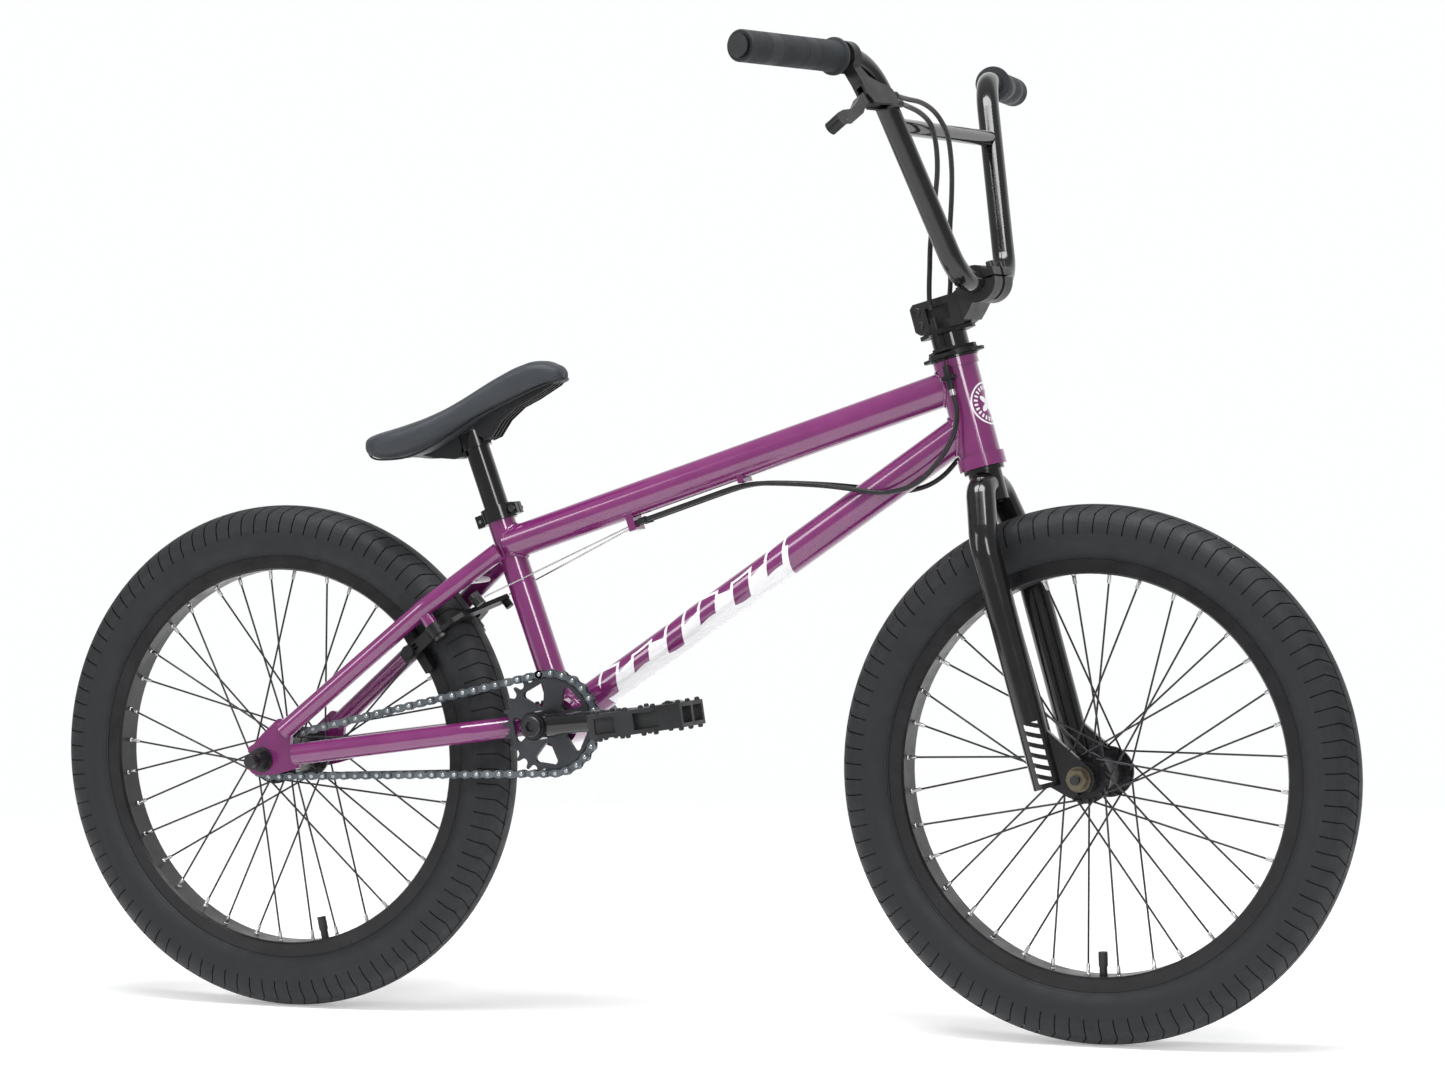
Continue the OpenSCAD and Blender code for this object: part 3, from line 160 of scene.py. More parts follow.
class Shader:
    """A node material under construction around one Principled shader."""

    def __init__(self, name: str) -> None:
        """Starts an empty tree.

        Args:
            name: name of the new material.
        """
        self.material = bpy.data.materials.new(name)
        self.material.use_nodes = True
        self.tree = self.material.node_tree
        self.tree.nodes.clear()
        self.surface = self.node("ShaderNodeBsdfPrincipled")
        output = self.node("ShaderNodeOutputMaterial")
        self.tree.links.new(self.surface.outputs[0], output.inputs["Surface"])
        coords = self.node("ShaderNodeTexCoord")
        self.place = Sock(self, coords.outputs["Object"])
        split = self.node("ShaderNodeSeparateXYZ", inputs={"Vector": self.place})
        self.x, self.y, self.z = (Sock(self, out) for out in split.outputs)

    def node(
        self, kind: str, settings: dict[str, Any] | None = None, inputs: dict[Any, Any] | None = None
    ) -> Any:
        """Adds any node.

        Args:
            kind: Blender's name for the node's type.
            settings: attributes that are set first.
            inputs: values or sockets for its inputs, by name or number.

        Returns:
            The new node.
        """
        made = self.tree.nodes.new(kind)
        for key, value in (settings or {}).items():
            setattr(made, key, value)
        for key, value in (inputs or {}).items():
            if isinstance(value, Sock):
                self.tree.links.new(value.socket, made.inputs[key])
            else:
                made.inputs[key].default_value = value
        return made

    def math(self, operation: str, *values: Any) -> Sock:
        """One Math node on sockets or numbers."""
        made = self.node("ShaderNodeMath", {"operation": operation}, dict(enumerate(values)))
        return Sock(self, made.outputs[0])

    def length(self, a: Sock, b: Sock) -> Sock:
        """Length of a flat vector."""
        return self.math("SQRT", a * a + b * b)

    def ramp(
        self, value: Sock, low: float, high: float, to_low: float = 0.0, to_high: float = 1.0
    ) -> Sock:
        """Smoothly maps low..high of a value to to_low..to_high, held at both ends."""
        made = self.node(
            "ShaderNodeMapRange",
            {"interpolation_type": "SMOOTHSTEP", "clamp": True},
            {"Value": value, "From Min": low, "From Max": high, "To Min": to_low, "To Max": to_high},
        )
        return Sock(self, made.outputs[0])

    def noise(self, size: float, detail: float = 3.0, stretch: Sequence[float] = (1, 1, 1)) -> Sock:
        """Noise whose blobs are about this size in metres, stretched along the axes."""
        mapped = self.node("ShaderNodeMapping", inputs={"Vector": self.place, "Scale": tuple(stretch)})
        made = self.node(
            "ShaderNodeTexNoise",
            inputs={"Vector": Sock(self, mapped.outputs[0]), "Scale": 1.0 / size, "Detail": detail},
        )
        return Sock(self, made.outputs["Fac"])

    def cells(self, size: float) -> Sock:
        """Distance to the edges of cells of about this size in metres."""
        inputs = {"Vector": self.place, "Scale": 1.0 / size}
        made = self.node("ShaderNodeTexVoronoi", {"feature": "DISTANCE_TO_EDGE"}, inputs)
        return Sock(self, made.outputs["Distance"])

    def blend(self, share: Any, low: Any, high: Any) -> Sock:
        """Mixes two colours by a share.

        Args:
            share: 0 gives low and 1 gives high.
            low: a colour or a socket.
            high: a colour or a socket.

        Returns:
            The mixed colour.
        """
        made = self.node("ShaderNodeMix", {"data_type": "RGBA"})
        for index, value in ((0, share), (6, low), (7, high)):
            if isinstance(value, Sock):
                self.tree.links.new(value.socket, made.inputs[index])
            elif index:
                made.inputs[index].default_value = (*value, 1.0)
            else:
                made.inputs[index].default_value = value
        return Sock(self, made.outputs[2])

    def relief(self, height: Sock, depth: float) -> Sock:
        """The normal of a relief.

        Args:
            height: the height, from 0 to 1.
            depth: what a height of 1 is in metres.

        Returns:
            The normal, from a Bump node.
        """
        made = self.node("ShaderNodeBump", inputs={"Height": height, "Distance": depth, "Strength": 1.0})
        return Sock(self, made.outputs[0])

    def dress(self, **inputs: Any) -> None:
        """Sets or links inputs of the Principled shader, written with underscores for spaces."""
        for key, value in inputs.items():
            socket = self.surface.inputs[key.replace("_", " ")]
            if isinstance(value, Sock):
                self.tree.links.new(value.socket, socket)
            elif isinstance(value, tuple):
                socket.default_value = (*value, 1.0)
            else:
                socket.default_value = value


class Grain(Enum):
    """How a finish breaks up when seen close to."""

    LACQUER = "lacquer"
    BRUSHED = "brushed"
    CAST = "cast"
    MOULDED = "moulded"
    LEATHER = "leather"


@dataclass(frozen=True)
class Finish:
    """One finish: a base colour that drifts to a second one, a grain and a gloss.

    The relief is the grain's depth in millimetres, and the size is its scale in metres.
    """

    name: str
    slot: str
    color: Color
    second: Color
    grain: Grain
    rough: tuple[float, float]
    relief: float = 0.05
    size: float = 0.004
    metallic: float = 0.0
    coat: float = 0.0
    specular: float = 0.5

    def color_of(self, shader: Shader) -> Sock:
        """Base colour, drifting between the two in soft patches."""
        patches = shader.ramp(shader.noise(0.035, 4.0), 0.38, 0.72)
        specks = shader.ramp(shader.noise(0.0012, 2.0), 0.55, 0.75)
        return shader.blend(patches * 0.6 + specks * 0.4, self.color, self.second)

    def height_of(self, shader: Shader) -> Sock:
        """Height of the grain, from 0 to 1."""
        if self.grain is Grain.BRUSHED:
            return shader.noise(self.size, 3.0, (1.0, 0.12, 1.0))
        if self.grain is Grain.LEATHER:
            creases = shader.ramp(shader.cells(self.size), 0.0, 0.22)
            return creases * 0.7 + shader.noise(self.size / 3, 3.0) * 0.3
        if self.grain is Grain.MOULDED:
            return shader.noise(self.size / 4, 5.0) * 0.7 + shader.noise(self.size, 2.0) * 0.3
        if self.grain is Grain.CAST:
            return shader.noise(self.size / 2, 6.0)
        return shader.noise(self.size, 1.0)

    def make(self) -> bpy.types.Material:
        """Builds the material.

        Returns:
            The finished material.
        """
        shader = Shader(self.name)
        low, high = self.rough
        rough = shader.ramp(shader.noise(0.02, 5.0), 0.3, 0.7, low, high)
        shader.dress(
            Base_Color=self.color_of(shader),
            Roughness=rough,
            Metallic=self.metallic,
            Coat_Weight=self.coat,
            Coat_Roughness=0.06,
            Specular_IOR_Level=self.specular,
            Normal=shader.relief(self.height_of(shader), self.relief * MM),
        )
        return shader.material


def steering_frame(shader: Shader) -> tuple[Sock, Sock]:
    """Forward and upward distance from the foot of the head tube, along the leaning steering frame."""
    sine, cosine = math.sin(HEAD_LEAN), math.cos(HEAD_LEAN)
    dx, dz = shader.x - HEAD_FOOT.x, shader.z - HEAD_FOOT.z
    return dx * cosine + dz * sine, dz * cosine - dx * sine


@dataclass(frozen=True)
class FramePaint(Finish):
    """Candy paint over steel, with a plain pale panel on the down tube and a round badge in front.

    All distances are in metres.
    """

    pale: Color = (0.80, 0.80, 0.82)
    panel_span: tuple[float, float] = (0.052, 0.300)
    bar_pitch: float = 0.044
    bar_slant: float = 0.55
    badge_height: float = 0.060
    head_tube_r: float = 0.0205

    def panel(self, shader: Shader) -> Sock:
        """Mask of the pale panel: a wavy band low on the down tube, and slanted rims of bars over it."""
        way_x, way_z = DOWN_TUBE_WAY
        dx, dz = shader.x - DOWN_TUBE_REAR.x, shader.z - DOWN_TUBE_REAR.z
        along, high = dx * way_x + dz * way_z, dz * way_x - dx * way_z
        slant = along - high * self.bar_slant
        start, end = self.panel_span
        on_tube = (abs(high) < 0.0195) * (along > start) * (slant < end)
        wave = shader.math("SINE", slant * (math.tau / (2 * self.bar_pitch))) * 0.0035
        tall = shader.math("SINE", slant * (math.tau / (3 * self.bar_pitch))) * 0.004
        beat = abs(shader.math("FRACT", (slant + 0.004) / self.bar_pitch) - 0.5)
        bar = (beat < 0.23) * (high > (wave - 0.0085)) * (high < (tall + 0.0125))
        rim = (beat < 0.31) * (high > (wave - 0.0105)) * (high < (tall + 0.0150))
        pale = shader.math("MAXIMUM", high < (wave + 0.006), rim)
        return on_tube * pale * (1.0 - bar)

    def badge(self, shader: Shader) -> Sock:
        """Mask of the badge: a ring and beads round a plain star, on the front of the head tube."""
        forward, up = steering_frame(shader)
        side = shader.math("ARCTAN2", shader.y, forward) * self.head_tube_r
        rise = up - self.badge_height
        far = shader.length(side, rise)
        spin = shader.math("ARCTAN2", rise, side)
        ring = (far < 0.0215) * (far > 0.0198)
        star = far < (shader.math("COSINE", spin * 5.0) * 0.0035 + 0.0085)
        beads = (far < 0.0180) * (far > 0.0140) * (shader.math("COSINE", spin * 24.0) > 0.1)
        mask = shader.math("MAXIMUM", shader.math("MAXIMUM", ring, star), beads)
        return mask * (forward > 0.0)

    def color_of(self, shader: Shader) -> Sock:
        """The paint, and both pale marks over it."""
        paint = super().color_of(shader)
        both = shader.math("MAXIMUM", self.panel(shader), self.badge(shader))
        return shader.blend(both, paint, self.pale)


@dataclass(frozen=True)
class ForkPaint(Finish):
    """Gloss black with a short row of pale slashes low on each leg.

    All distances are in metres.
    """

    pale: Color = (0.78, 0.78, 0.80)
    slash_pitch: float = 0.0105
    slash_span: tuple[float, float] = (-0.312, -0.252)
    slash_side: float = 0.056

    def color_of(self, shader: Shader) -> Sock:
        """Black, with the slashes on the outer side of both legs."""
        forward, up = steering_frame(shader)
        low, high = self.slash_span
        bar = abs(shader.math("FRACT", (up + forward * 0.5) / self.slash_pitch) - 0.5) < 0.27
        on_leg = (up > low) * (up < high) * (abs(forward - 0.0035) < 0.0065)
        span = on_leg * (abs(shader.y) > self.slash_side)
        return shader.blend(bar * span, super().color_of(shader), self.pale)


@dataclass(frozen=True)
class TyreRubber(Finish):
    """Tyre rubber: matt, with fine moulded rings on the side walls and painted shade in the tread's slots."""

    center: Vector = field(default_factory=lambda: FRONT_AXLE.copy())
    # Nearly black: painted shade down in the tread's slots.
    slot_shade_color: Color = (0.002, 0.002, 0.002)

    def from_axle(self, shader: Shader) -> Sock:
        """Distance from the wheel's axle."""
        return shader.length(shader.x - self.center.x, shader.z - self.center.z)

    def height_of(self, shader: Shader) -> Sock:
        """Rings near the rim, one line under the tread, and a fine rubber grain everywhere."""
        far = self.from_axle(shader)
        rings = shader.math("SINE", far * (math.tau / 0.0022)) * 0.5 + 0.5
        near_rim = shader.ramp(far, 0.212, 0.216, 1.0, 0.0) * shader.ramp(far, 0.208, 0.210)
        line = shader.ramp(abs(far - 0.2454), 0.0002, 0.0006, 1.0, 0.0)
        return near_rim * rings * 0.8 + line * 0.5 + shader.noise(0.0009, 4.0) * 0.2

    def color_of(self, shader: Shader) -> Sock:
        """Dark rubber, a little greyer on the tread from dust, and painted nearly black down in the slots as
        shade.
        """
        far = self.from_axle(shader)
        tread = shader.ramp(far, 0.246, 0.258) * shader.ramp(shader.noise(0.012, 5.0), 0.3, 0.7)
        # Painted shade: the rubber below the slots' floor goes nearly black.
        from_core = far - TYRE_RING_R * MM
        deep_in_shade = from_core * from_core + shader.y * shader.y < SLOT_FLOOR_R ** 2
        slot = deep_in_shade * (far > 0.2345)
        return shader.blend(slot, shader.blend(tread, self.color, self.second), self.slot_shade_color)


class Paints:
    """Every finish on the bike, each made once."""

    def __init__(self) -> None:
        """Builds all the materials."""
        g = Grain
        self.frame = FramePaint(
            "frame_paint", "frame_paint", (0.152, 0.015, 0.109), (0.186, 0.021, 0.131), g.LACQUER,
            (0.13, 0.21), relief=0.015, size=0.006, coat=1.0, specular=0.5)
        gloss: dict[str, Any] = dict(
            slot="gloss_black", color=(0.006, 0.006, 0.0065), second=(0.009, 0.009, 0.010),
            grain=g.LACQUER, rough=(0.12, 0.20), relief=0.015, size=0.006, coat=0.4, specular=0.35)
        self.fork = ForkPaint("fork_gloss_black", **gloss)
        self.black = Finish("gloss_black", **gloss)
        self.satin = Finish(
            "satin_black", "gloss_black", (0.008, 0.008, 0.009), (0.014, 0.014, 0.016), g.CAST,
            (0.30, 0.44), relief=0.05, size=0.002, specular=0.32)
        self.stem = Finish(
            "stem_black", "gloss_black", (0.014, 0.014, 0.015), (0.023, 0.023, 0.025), g.CAST,
            (0.36, 0.50), relief=0.04, size=0.0015, specular=0.32)
        self.rim = Finish(
            "rim_black", "gloss_black", (0.008, 0.008, 0.009), (0.014, 0.014, 0.016), g.BRUSHED,
            (0.26, 0.40), relief=0.03, size=0.0015, specular=0.32)
        self.spoke = Finish(
            "spoke_black", "dark_spokes", (0.030, 0.030, 0.033), (0.05, 0.05, 0.055), g.BRUSHED,
            (0.28, 0.45), relief=0.01, size=0.001, metallic=0.6)
        self.sprocket = Finish(
            "sprocket_grey", "satin_grey", (0.045, 0.047, 0.052), (0.07, 0.072, 0.078), g.BRUSHED,
            (0.36, 0.50), relief=0.03, size=0.0012, metallic=0.7)
        self.steel = Finish(
            "bright_steel", "bright_steel", (0.55, 0.55, 0.56), (0.42, 0.42, 0.43), g.BRUSHED,
            (0.22, 0.40), relief=0.02, size=0.001, metallic=1.0)
        self.dark_steel = Finish(
            "dark_steel", "bright_steel", (0.05, 0.05, 0.053), (0.09, 0.09, 0.09), g.BRUSHED,
            (0.28, 0.45), relief=0.02, size=0.001, metallic=0.9)
        self.chain = Finish(
            "chain_steel", "chain_steel", (0.115, 0.135, 0.150), (0.20, 0.215, 0.225), g.CAST,
            (0.28, 0.46), relief=0.02, size=0.0015, metallic=0.95)
        self.zinc = Finish(
            "zinc", "zinc", (0.15, 0.13, 0.09), (0.09, 0.08, 0.06), g.CAST,
            (0.30, 0.50), relief=0.03, size=0.0015, metallic=0.9)
        self.tube = Finish(
            "valve_rubber", "tube_rubber", (0.013, 0.013, 0.014), (0.02, 0.02, 0.021), g.MOULDED,
            (0.40, 0.55), relief=0.04, size=0.002)
        self.grip = Finish(
            "grip_rubber", "grip_rubber", (0.022, 0.025, 0.028), (0.034, 0.038, 0.041), g.MOULDED,
            (0.50, 0.66), relief=0.06, size=0.0018, specular=0.3)
        self.cable = Finish(
            "cable_black", "cable_black", (0.012, 0.012, 0.013), (0.02, 0.02, 0.021), g.MOULDED,
            (0.24, 0.36), relief=0.02, size=0.002, specular=0.35)
        self.plastic = Finish(
            "black_plastic", "black_plastic", (0.016, 0.0165, 0.0175), (0.026, 0.027, 0.029), g.MOULDED,
            (0.34, 0.50), relief=0.08, size=0.0022, specular=0.35)
        self.seat = Finish(
            "seat_cover", "seat_cover", (0.026, 0.030, 0.036), (0.034, 0.039, 0.045), g.LEATHER,
            (0.44, 0.56), relief=0.10, size=0.0016, specular=0.45)
        tyre: dict[str, Any] = dict(
            slot="tyre_rubber", color=(0.0155, 0.0165, 0.018), second=(0.027, 0.028, 0.030),
            grain=g.MOULDED, rough=(0.5, 0.64), relief=0.30, specular=0.30)
        self.front_tyre = TyreRubber(name="front_tyre_rubber", center=FRONT_AXLE.copy(), **tyre)
        self.rear_tyre = TyreRubber(name="rear_tyre_rubber", center=REAR_AXLE.copy(), **tyre)
        self._made: dict[str, bpy.types.Material] = {}

    def material(self, finish: Finish) -> bpy.types.Material:
        """The material of a finish, made at its first use."""
        if finish.name not in self._made:
            self._made[finish.name] = finish.make()
        return self._made[finish.name]


# ---------------------------------------------------------------- mesh helpers


def frame_matrix(origin: Vector, z_axis: Vector, x_hint: Vector = Vector((0, 1, 0))) -> Matrix:
    """A right-handed frame.

    Args:
        origin: its origin.
        z_axis: direction of its Z.
        x_hint: rough direction of its X.

    Returns:
        The matrix from that frame to the bike's frame.
    """
    z = z_axis.normalized()
    x = (x_hint - z * x_hint.dot(z)).normalized()
    y = z.cross(x)
    turned = Matrix((x, y, z)).transposed().to_4x4()
    return Matrix.Translation(origin) @ turned


def link_object(name: str, data: Any) -> bpy.types.Object:
    """Puts a mesh, curve, light or camera into the scene as a new object."""
    obj = bpy.data.objects.new(name, data)
    bpy.context.scene.collection.objects.link(obj)
    return obj


def mesh_object(name: str, bm: bmesh.types.BMesh) -> bpy.types.Object:
    """Turns a finished bmesh into an object in the scene."""
    mesh = bpy.data.meshes.new(name)
    bm.to_mesh(mesh)
    bm.free()
    return link_object(name, mesh)


def ring_of(bm: bmesh.types.BMesh, points: Iterable[Sequence[float]]) -> list[bmesh.types.BMVert]:
    """Adds vertices at these points."""
    return [bm.verts.new(p) for p in points]


def chain_edges(bm: bmesh.types.BMesh, verts: Sequence[bmesh.types.BMVert], closed: bool) -> list[Any]:
    """Joins vertices in a row by edges."""
    edges = [bm.edges.new(pair) for pair in zip(verts, verts[1:])]
    if closed:
        edges.append(bm.edges.new((verts[-1], verts[0])))
    return edges


def plate(bm: bmesh.types.BMesh, outline: Iterable[tuple[float, float]], low: float, high: float) -> None:
    """Adds a flat plate that stands in the side plane.

    Args:
        bm: mesh to add to.
        outline: its corners as (x, z) in millimetres.
        low: side of one face, in millimetres.
        high: side of the other face.
    """
    face = bm.faces.new(ring_of(bm, [(x * MM, low * MM, z * MM) for x, z in outline]))
    moved = bmesh.ops.extrude_face_region(bm, geom=[face])
    tops = [v for v in moved["geom"] if isinstance(v, bmesh.types.BMVert)]
    bmesh.ops.translate(bm, verts=tops, vec=(0, (high - low) * MM, 0))


def spun(
    bm: bmesh.types.BMesh, profile: Sequence[tuple[float, float]], steps: int, matrix: Matrix
) -> None:
    """Spins a profile about Z and places it.

    Args:
        bm: mesh to add to.
        profile: open outline of (radius, height) in metres, from one end of the axis to the other.
        steps: number of steps round.
        matrix: places the result.
    """
    verts = ring_of(bm, [(r, 0.0, h) for r, h in profile])
    edges = chain_edges(bm, verts, closed=False)
    before = set(bm.verts) - set(verts)
    bmesh.ops.spin(bm, geom=verts + edges, cent=(0, 0, 0), axis=(0, 0, 1), angle=math.tau, steps=steps,
                   use_merge=True)
    new = [v for v in bm.verts if v not in before]
    bmesh.ops.remove_doubles(bm, verts=new, dist=1e-7)
    bmesh.ops.transform(bm, matrix=matrix, verts=[v for v in new if v.is_valid])


def drum(
    bm: bmesh.types.BMesh, radius: float, height: float, sides: int, matrix: Matrix, soften: float = 0.0
) -> None:
    """Adds a capped drum that stands on its base, with its rims softened."""
    profile = [(0.0, 0.0), (radius, 0.0), (radius, height), (0.0, height)]
    if soften > 0.0:
        profile = [(0.0, 0.0), (radius - soften, 0.0), (radius, soften), (radius, height - soften),
                   (radius - soften, height), (0.0, height)]
    spun(bm, profile, sides, matrix)


def socket_head(bm: bmesh.types.BMesh, radius: float, height: float, key: float, matrix: Matrix) -> None:
    """Adds a bolt head with a six-sided socket.

    Args:
        bm: mesh to add to.
        radius: radius of the head.
        height: its height above its base.
        key: half of the socket's width across its corners.
        matrix: stands it on its base, about Z.
    """
    soft, socket_floor = radius * 0.12, height * 0.35
    profile = [(0.0, socket_floor), (key, socket_floor), (key, height), (radius - soft, height),
               (radius, height - soft), (radius, 0.0)]
    spun(bm, profile, 24, Matrix.Identity(4))
    made = [v for v in bm.verts if not v.tag]
    for v in made:
        v.tag = True
        # The round socket is pulled in to a six-sided one.
        if 1e-6 < math.hypot(v.co.x, v.co.y) < key * 1.01:
            turn = (math.degrees(math.atan2(v.co.y, v.co.x)) + 60.0) % 60.0 - 30.0
            flat = math.cos(math.radians(30)) / math.cos(math.radians(turn))
            v.co.x, v.co.y = v.co.x * flat, v.co.y * flat
    bmesh.ops.transform(bm, matrix=matrix, verts=made)


def tube_mesh(name: str, route: Sequence[Vector], radius: float, detail: int = 4) -> bpy.types.Object:
    """A round cord along a route, made as a curve and turned into a mesh.

    Args:
        name: the piece's name.
        route: points on its centre line.
        radius: its radius.
        detail: its bevel's resolution: the cord gets 4 sides, and 2 more for each step.

    Returns:
        The mesh object.
    """
    curve = bpy.data.curves.new(name + "_line", "CURVE")
    curve.dimensions = "3D"
    curve.bevel_depth = radius
    curve.bevel_resolution = detail
    curve.use_fill_caps = True
    spline = curve.splines.new("POLY")
    spline.points.add(len(route) - 1)
    for point, place in zip(spline.points, route):
        point.co = (*place, 1.0)
    holder = link_object(name + "_line", curve)
    bpy.context.view_layer.update()
    mesh = bpy.data.meshes.new_from_object(holder.evaluated_get(bpy.context.evaluated_depsgraph_get()))
    bpy.data.objects.remove(holder)
    bpy.data.curves.remove(curve)
    mesh.name = name
    return link_object(name, mesh)


def smooth_route(points: Sequence[Sequence[float]], matrix: Matrix, steps: int = 6) -> list[Vector]:
    """A smooth curve through points in millimetres.

    Args:
        points: the points that it passes.
        matrix: takes the points' frame, in metres, to the bike's.
        steps: number of steps between two points.

    Returns:
        Points on the curve, in metres.
    """
    p = [Vector(q) * MM for q in points]
    out: list[Vector] = []
    for i in range(len(p) - 1):
        a, b, c, d = p[max(i - 1, 0)], p[i], p[i + 1], p[min(i + 2, len(p) - 1)]
        for j in range(steps):
            t = j / steps
            out.append(0.5 * (2 * b + t * (c - a) + t * t * (2 * a - 5 * b + 4 * c - d)
                              + t * t * t * (3 * b - a - 3 * c + d)))
    out.append(p[-1])
    return [matrix @ v for v in out]


class Workshop:
    """Turns meshes into finished pieces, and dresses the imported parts."""

    def __init__(self, frame: dict[str, Any], paints: Paints) -> None:
        """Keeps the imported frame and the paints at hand."""
        self.frame = frame
        self.paints = paints

    def piece(
        self,
        bm: bmesh.types.BMesh | bpy.types.Object,
        name: str,
        body: str,
        finish: Finish,
        replaces: Sequence[str] = (),
        sharp: float = 35.0,
        recalc: bool = True,
    ) -> bpy.types.Object:
        """Finishes one piece.

        Args:
            bm: its mesh, or an object that already holds one.
            name: its name.
            body: the body that it rides on.
            finish: its finish.
            replaces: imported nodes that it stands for.
            sharp: edges over this angle, in degrees, stay sharp.
            recalc: whether its normals are worked out again.

        Returns:
            The object.
        """
        if isinstance(bm, bpy.types.Object):
            obj = bm
        else:
            if recalc:
                bmesh.ops.recalc_face_normals(bm, faces=bm.faces[:])
            obj = mesh_object(name, bm)
        obj.data.materials.clear()
        obj.data.materials.append(self.paints.material(finish))
        obj.data.shade_smooth()
        obj.data.set_sharp_from_angle(angle=math.radians(sharp))
        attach(obj, body)
        if replaces:
            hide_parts(*replaces)
        log.info("%s: %d faces on %s", name, len(obj.data.polygons), body)
        return obj

    def dress(self, finish: Finish, *nodes: str) -> None:
        """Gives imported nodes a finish."""
        for node in nodes:
            obj = self.frame["nodes"][node]
            for material_slot in obj.material_slots:
                material_slot.material = self.paints.material(finish)
            log.info("%s dressed in %s", node, finish.name)


# ---------------------------------------------------------------- sub-assemblies


@dataclass
class Wheel:
    """One wheel: a treaded tyre and the nipples that hold its spokes.

    Lengths are in millimetres and angles in degrees. An angle round the tyre's section is counted from
    the crown. Flanges are the side distances of the hub's right and left flange, and lace is the turn of
    the first spoke.
    """

    shop: Workshop
    end: str
    axle: Vector
    flanges: tuple[float, float]
    hole_r: float
    lace: float
    ring_r: float = TYRE_RING_R
    section_r: float = 29.5
    blocks: int = 100
    slot_deg: float = 0.30
    slot_depth: float = 1.5
    slot_span: tuple[float, float] = (11.0, 87.0)
    lean_span: tuple[float, float] = (12.0, 44.5)
    lean_deg: float = -2.1
    inner_r: float = 25.0
    rim_r: float = 195.0
    rim_offset: float = 4.0
    pairs: int = 9
    cross_deg: float = 60.0

    def section(self) -> tuple[list[tuple[float, float]], list[tuple[float, float]]]:
        """Half of the tyre's section in metres.

        Returns:
            The outside from the crown to the bead, and the inside from the bead to the crown.
        """
        # Angle round the section, and how far the surface lies inside its circle. A groove runs at 14.5 to
        # 16.8 degrees, and the tread ends in a small step at 89.
        half = [(0, 0), (5, 0), (11, 0), (14.2, 0), (14.5, 1.3), (16.8, 1.3), (17.1, 0), (24, 0), (31, 0),
                (38, 0), (44.5, 0), (51, 0), (58, 0), (65, 0), (72, 0.1), (80, 0.2), (87, 0.3), (89, 0.9),
                (96, 0.7), (105, 0.5), (114, 0.5), (122, 0.4), (130, 0.3), (137, 0.2)]
        bead = [(209.9, 18.6), (209.9, 15.2), (207.0, 14.8), (203.5, 14.6), (203.5, 10.8)]

        def at(center: float, r: float, deg: float) -> tuple[float, float]:
            """Point on a circle in the section."""
            return center + r * math.cos(math.radians(deg)), r * math.sin(math.radians(deg))

        side = [at(self.ring_r, self.section_r - drop, deg) for deg, drop in half] + bead
        inner = [at(self.ring_r - 0.5, self.inner_r, deg) for deg in (154, 130, 100, 70, 40, 15)]
        return [(r * MM, w * MM) for r, w in side], [(r * MM, w * MM) for r, w in inner]

    def turn_of(self, point: Vector) -> float:
        """Angle of a point round the tyre's section, from the crown, in degrees."""
        far = math.hypot(point.x, point.z) - self.ring_r * MM
        return math.degrees(abs(math.atan2(point.y, far)))

    def slot_faces(self, faces: Iterable[bmesh.types.BMFace]) -> list[bmesh.types.BMFace]:
        """Those faces that lie on the tyre's outside and inside the slots' span."""
        low, high = self.slot_span
        chosen = []
        for face in faces:
            c = face.calc_center_median()
            far = math.hypot(math.hypot(c.x, c.z) - self.ring_r * MM, c.y)
            if far > (self.section_r - 0.5) * MM and low < self.turn_of(c) < high:
                chosen.append(face)
        return chosen

    def tyre(self, finish: Finish) -> None:
        """Builds one block of tread, cuts its slots, and spins copies of it round the axle."""
        outer, inner = self.section()
        loop = [(r, -w) for r, w in reversed(outer[1:])] + outer
        loop += inner + [(r, -w) for r, w in reversed(inner)]
        bm = bmesh.new()
        verts = ring_of(bm, [(r, w, 0.0) for r, w in loop])
        edges = chain_edges(bm, verts, closed=True)
        step = math.tau / self.blocks
        slot = math.radians(self.slot_deg)
        about: dict[str, Any] = dict(cent=(0, 0, 0), axis=(0, 1, 0))
        first = bmesh.ops.spin(bm, geom=verts + edges, angle=slot, steps=1, **about)
        cut = self.slot_faces(bm.faces[:])
        bmesh.ops.spin(bm, geom=first["geom_last"], angle=step - slot, steps=2, **about)
        bmesh.ops.recalc_face_normals(bm, faces=bm.faces[:])
        middle = cut[0].calc_center_median()
        ring = Vector((middle.x, 0, middle.z)).normalized() * (self.ring_r * MM)
        inwards = -1.0 if cut[0].normal.dot(middle - ring) > 0 else 1.0
        bmesh.ops.inset_region(bm, faces=cut, thickness=0.00003, depth=inwards * self.slot_depth * MM,
                               use_even_offset=True)
        geom = bm.verts[:] + bm.edges[:] + bm.faces[:]
        bmesh.ops.spin(bm, geom=geom, angle=math.tau - step, steps=self.blocks - 1, use_duplicate=True,
                       **about)
        bmesh.ops.remove_doubles(bm, verts=bm.verts[:], dist=2e-6)
        inner_faces = [face for face in bm.faces if len(face.verts) > 4]
        bmesh.ops.delete(bm, geom=inner_faces, context="FACES_ONLY")
        # The slots lean: past the first angle, the section is turned more and more round the axle.
        start, end = self.lean_span
        for v in bm.verts:
            share = min(max((self.turn_of(v.co) - start) / (end - start), 0.0), 1.0)
            v.co = Matrix.Rotation(math.radians(self.lean_deg) * share, 3, "Y") @ v.co
        bmesh.ops.translate(bm, verts=bm.verts[:], vec=self.axle)
        covers = [f"{self.end}_tyre"]
        self.shop.piece(bm, f"{self.end}_tread", f"{self.end}_wheel", finish, covers, sharp=38.0)

    def on_circle(self, r: float, a: float, y: float) -> Vector:
        """Point at a radius and an angle in radians round the axle, and at a side distance."""
        return Vector((r * math.cos(a), y, r * math.sin(a)))

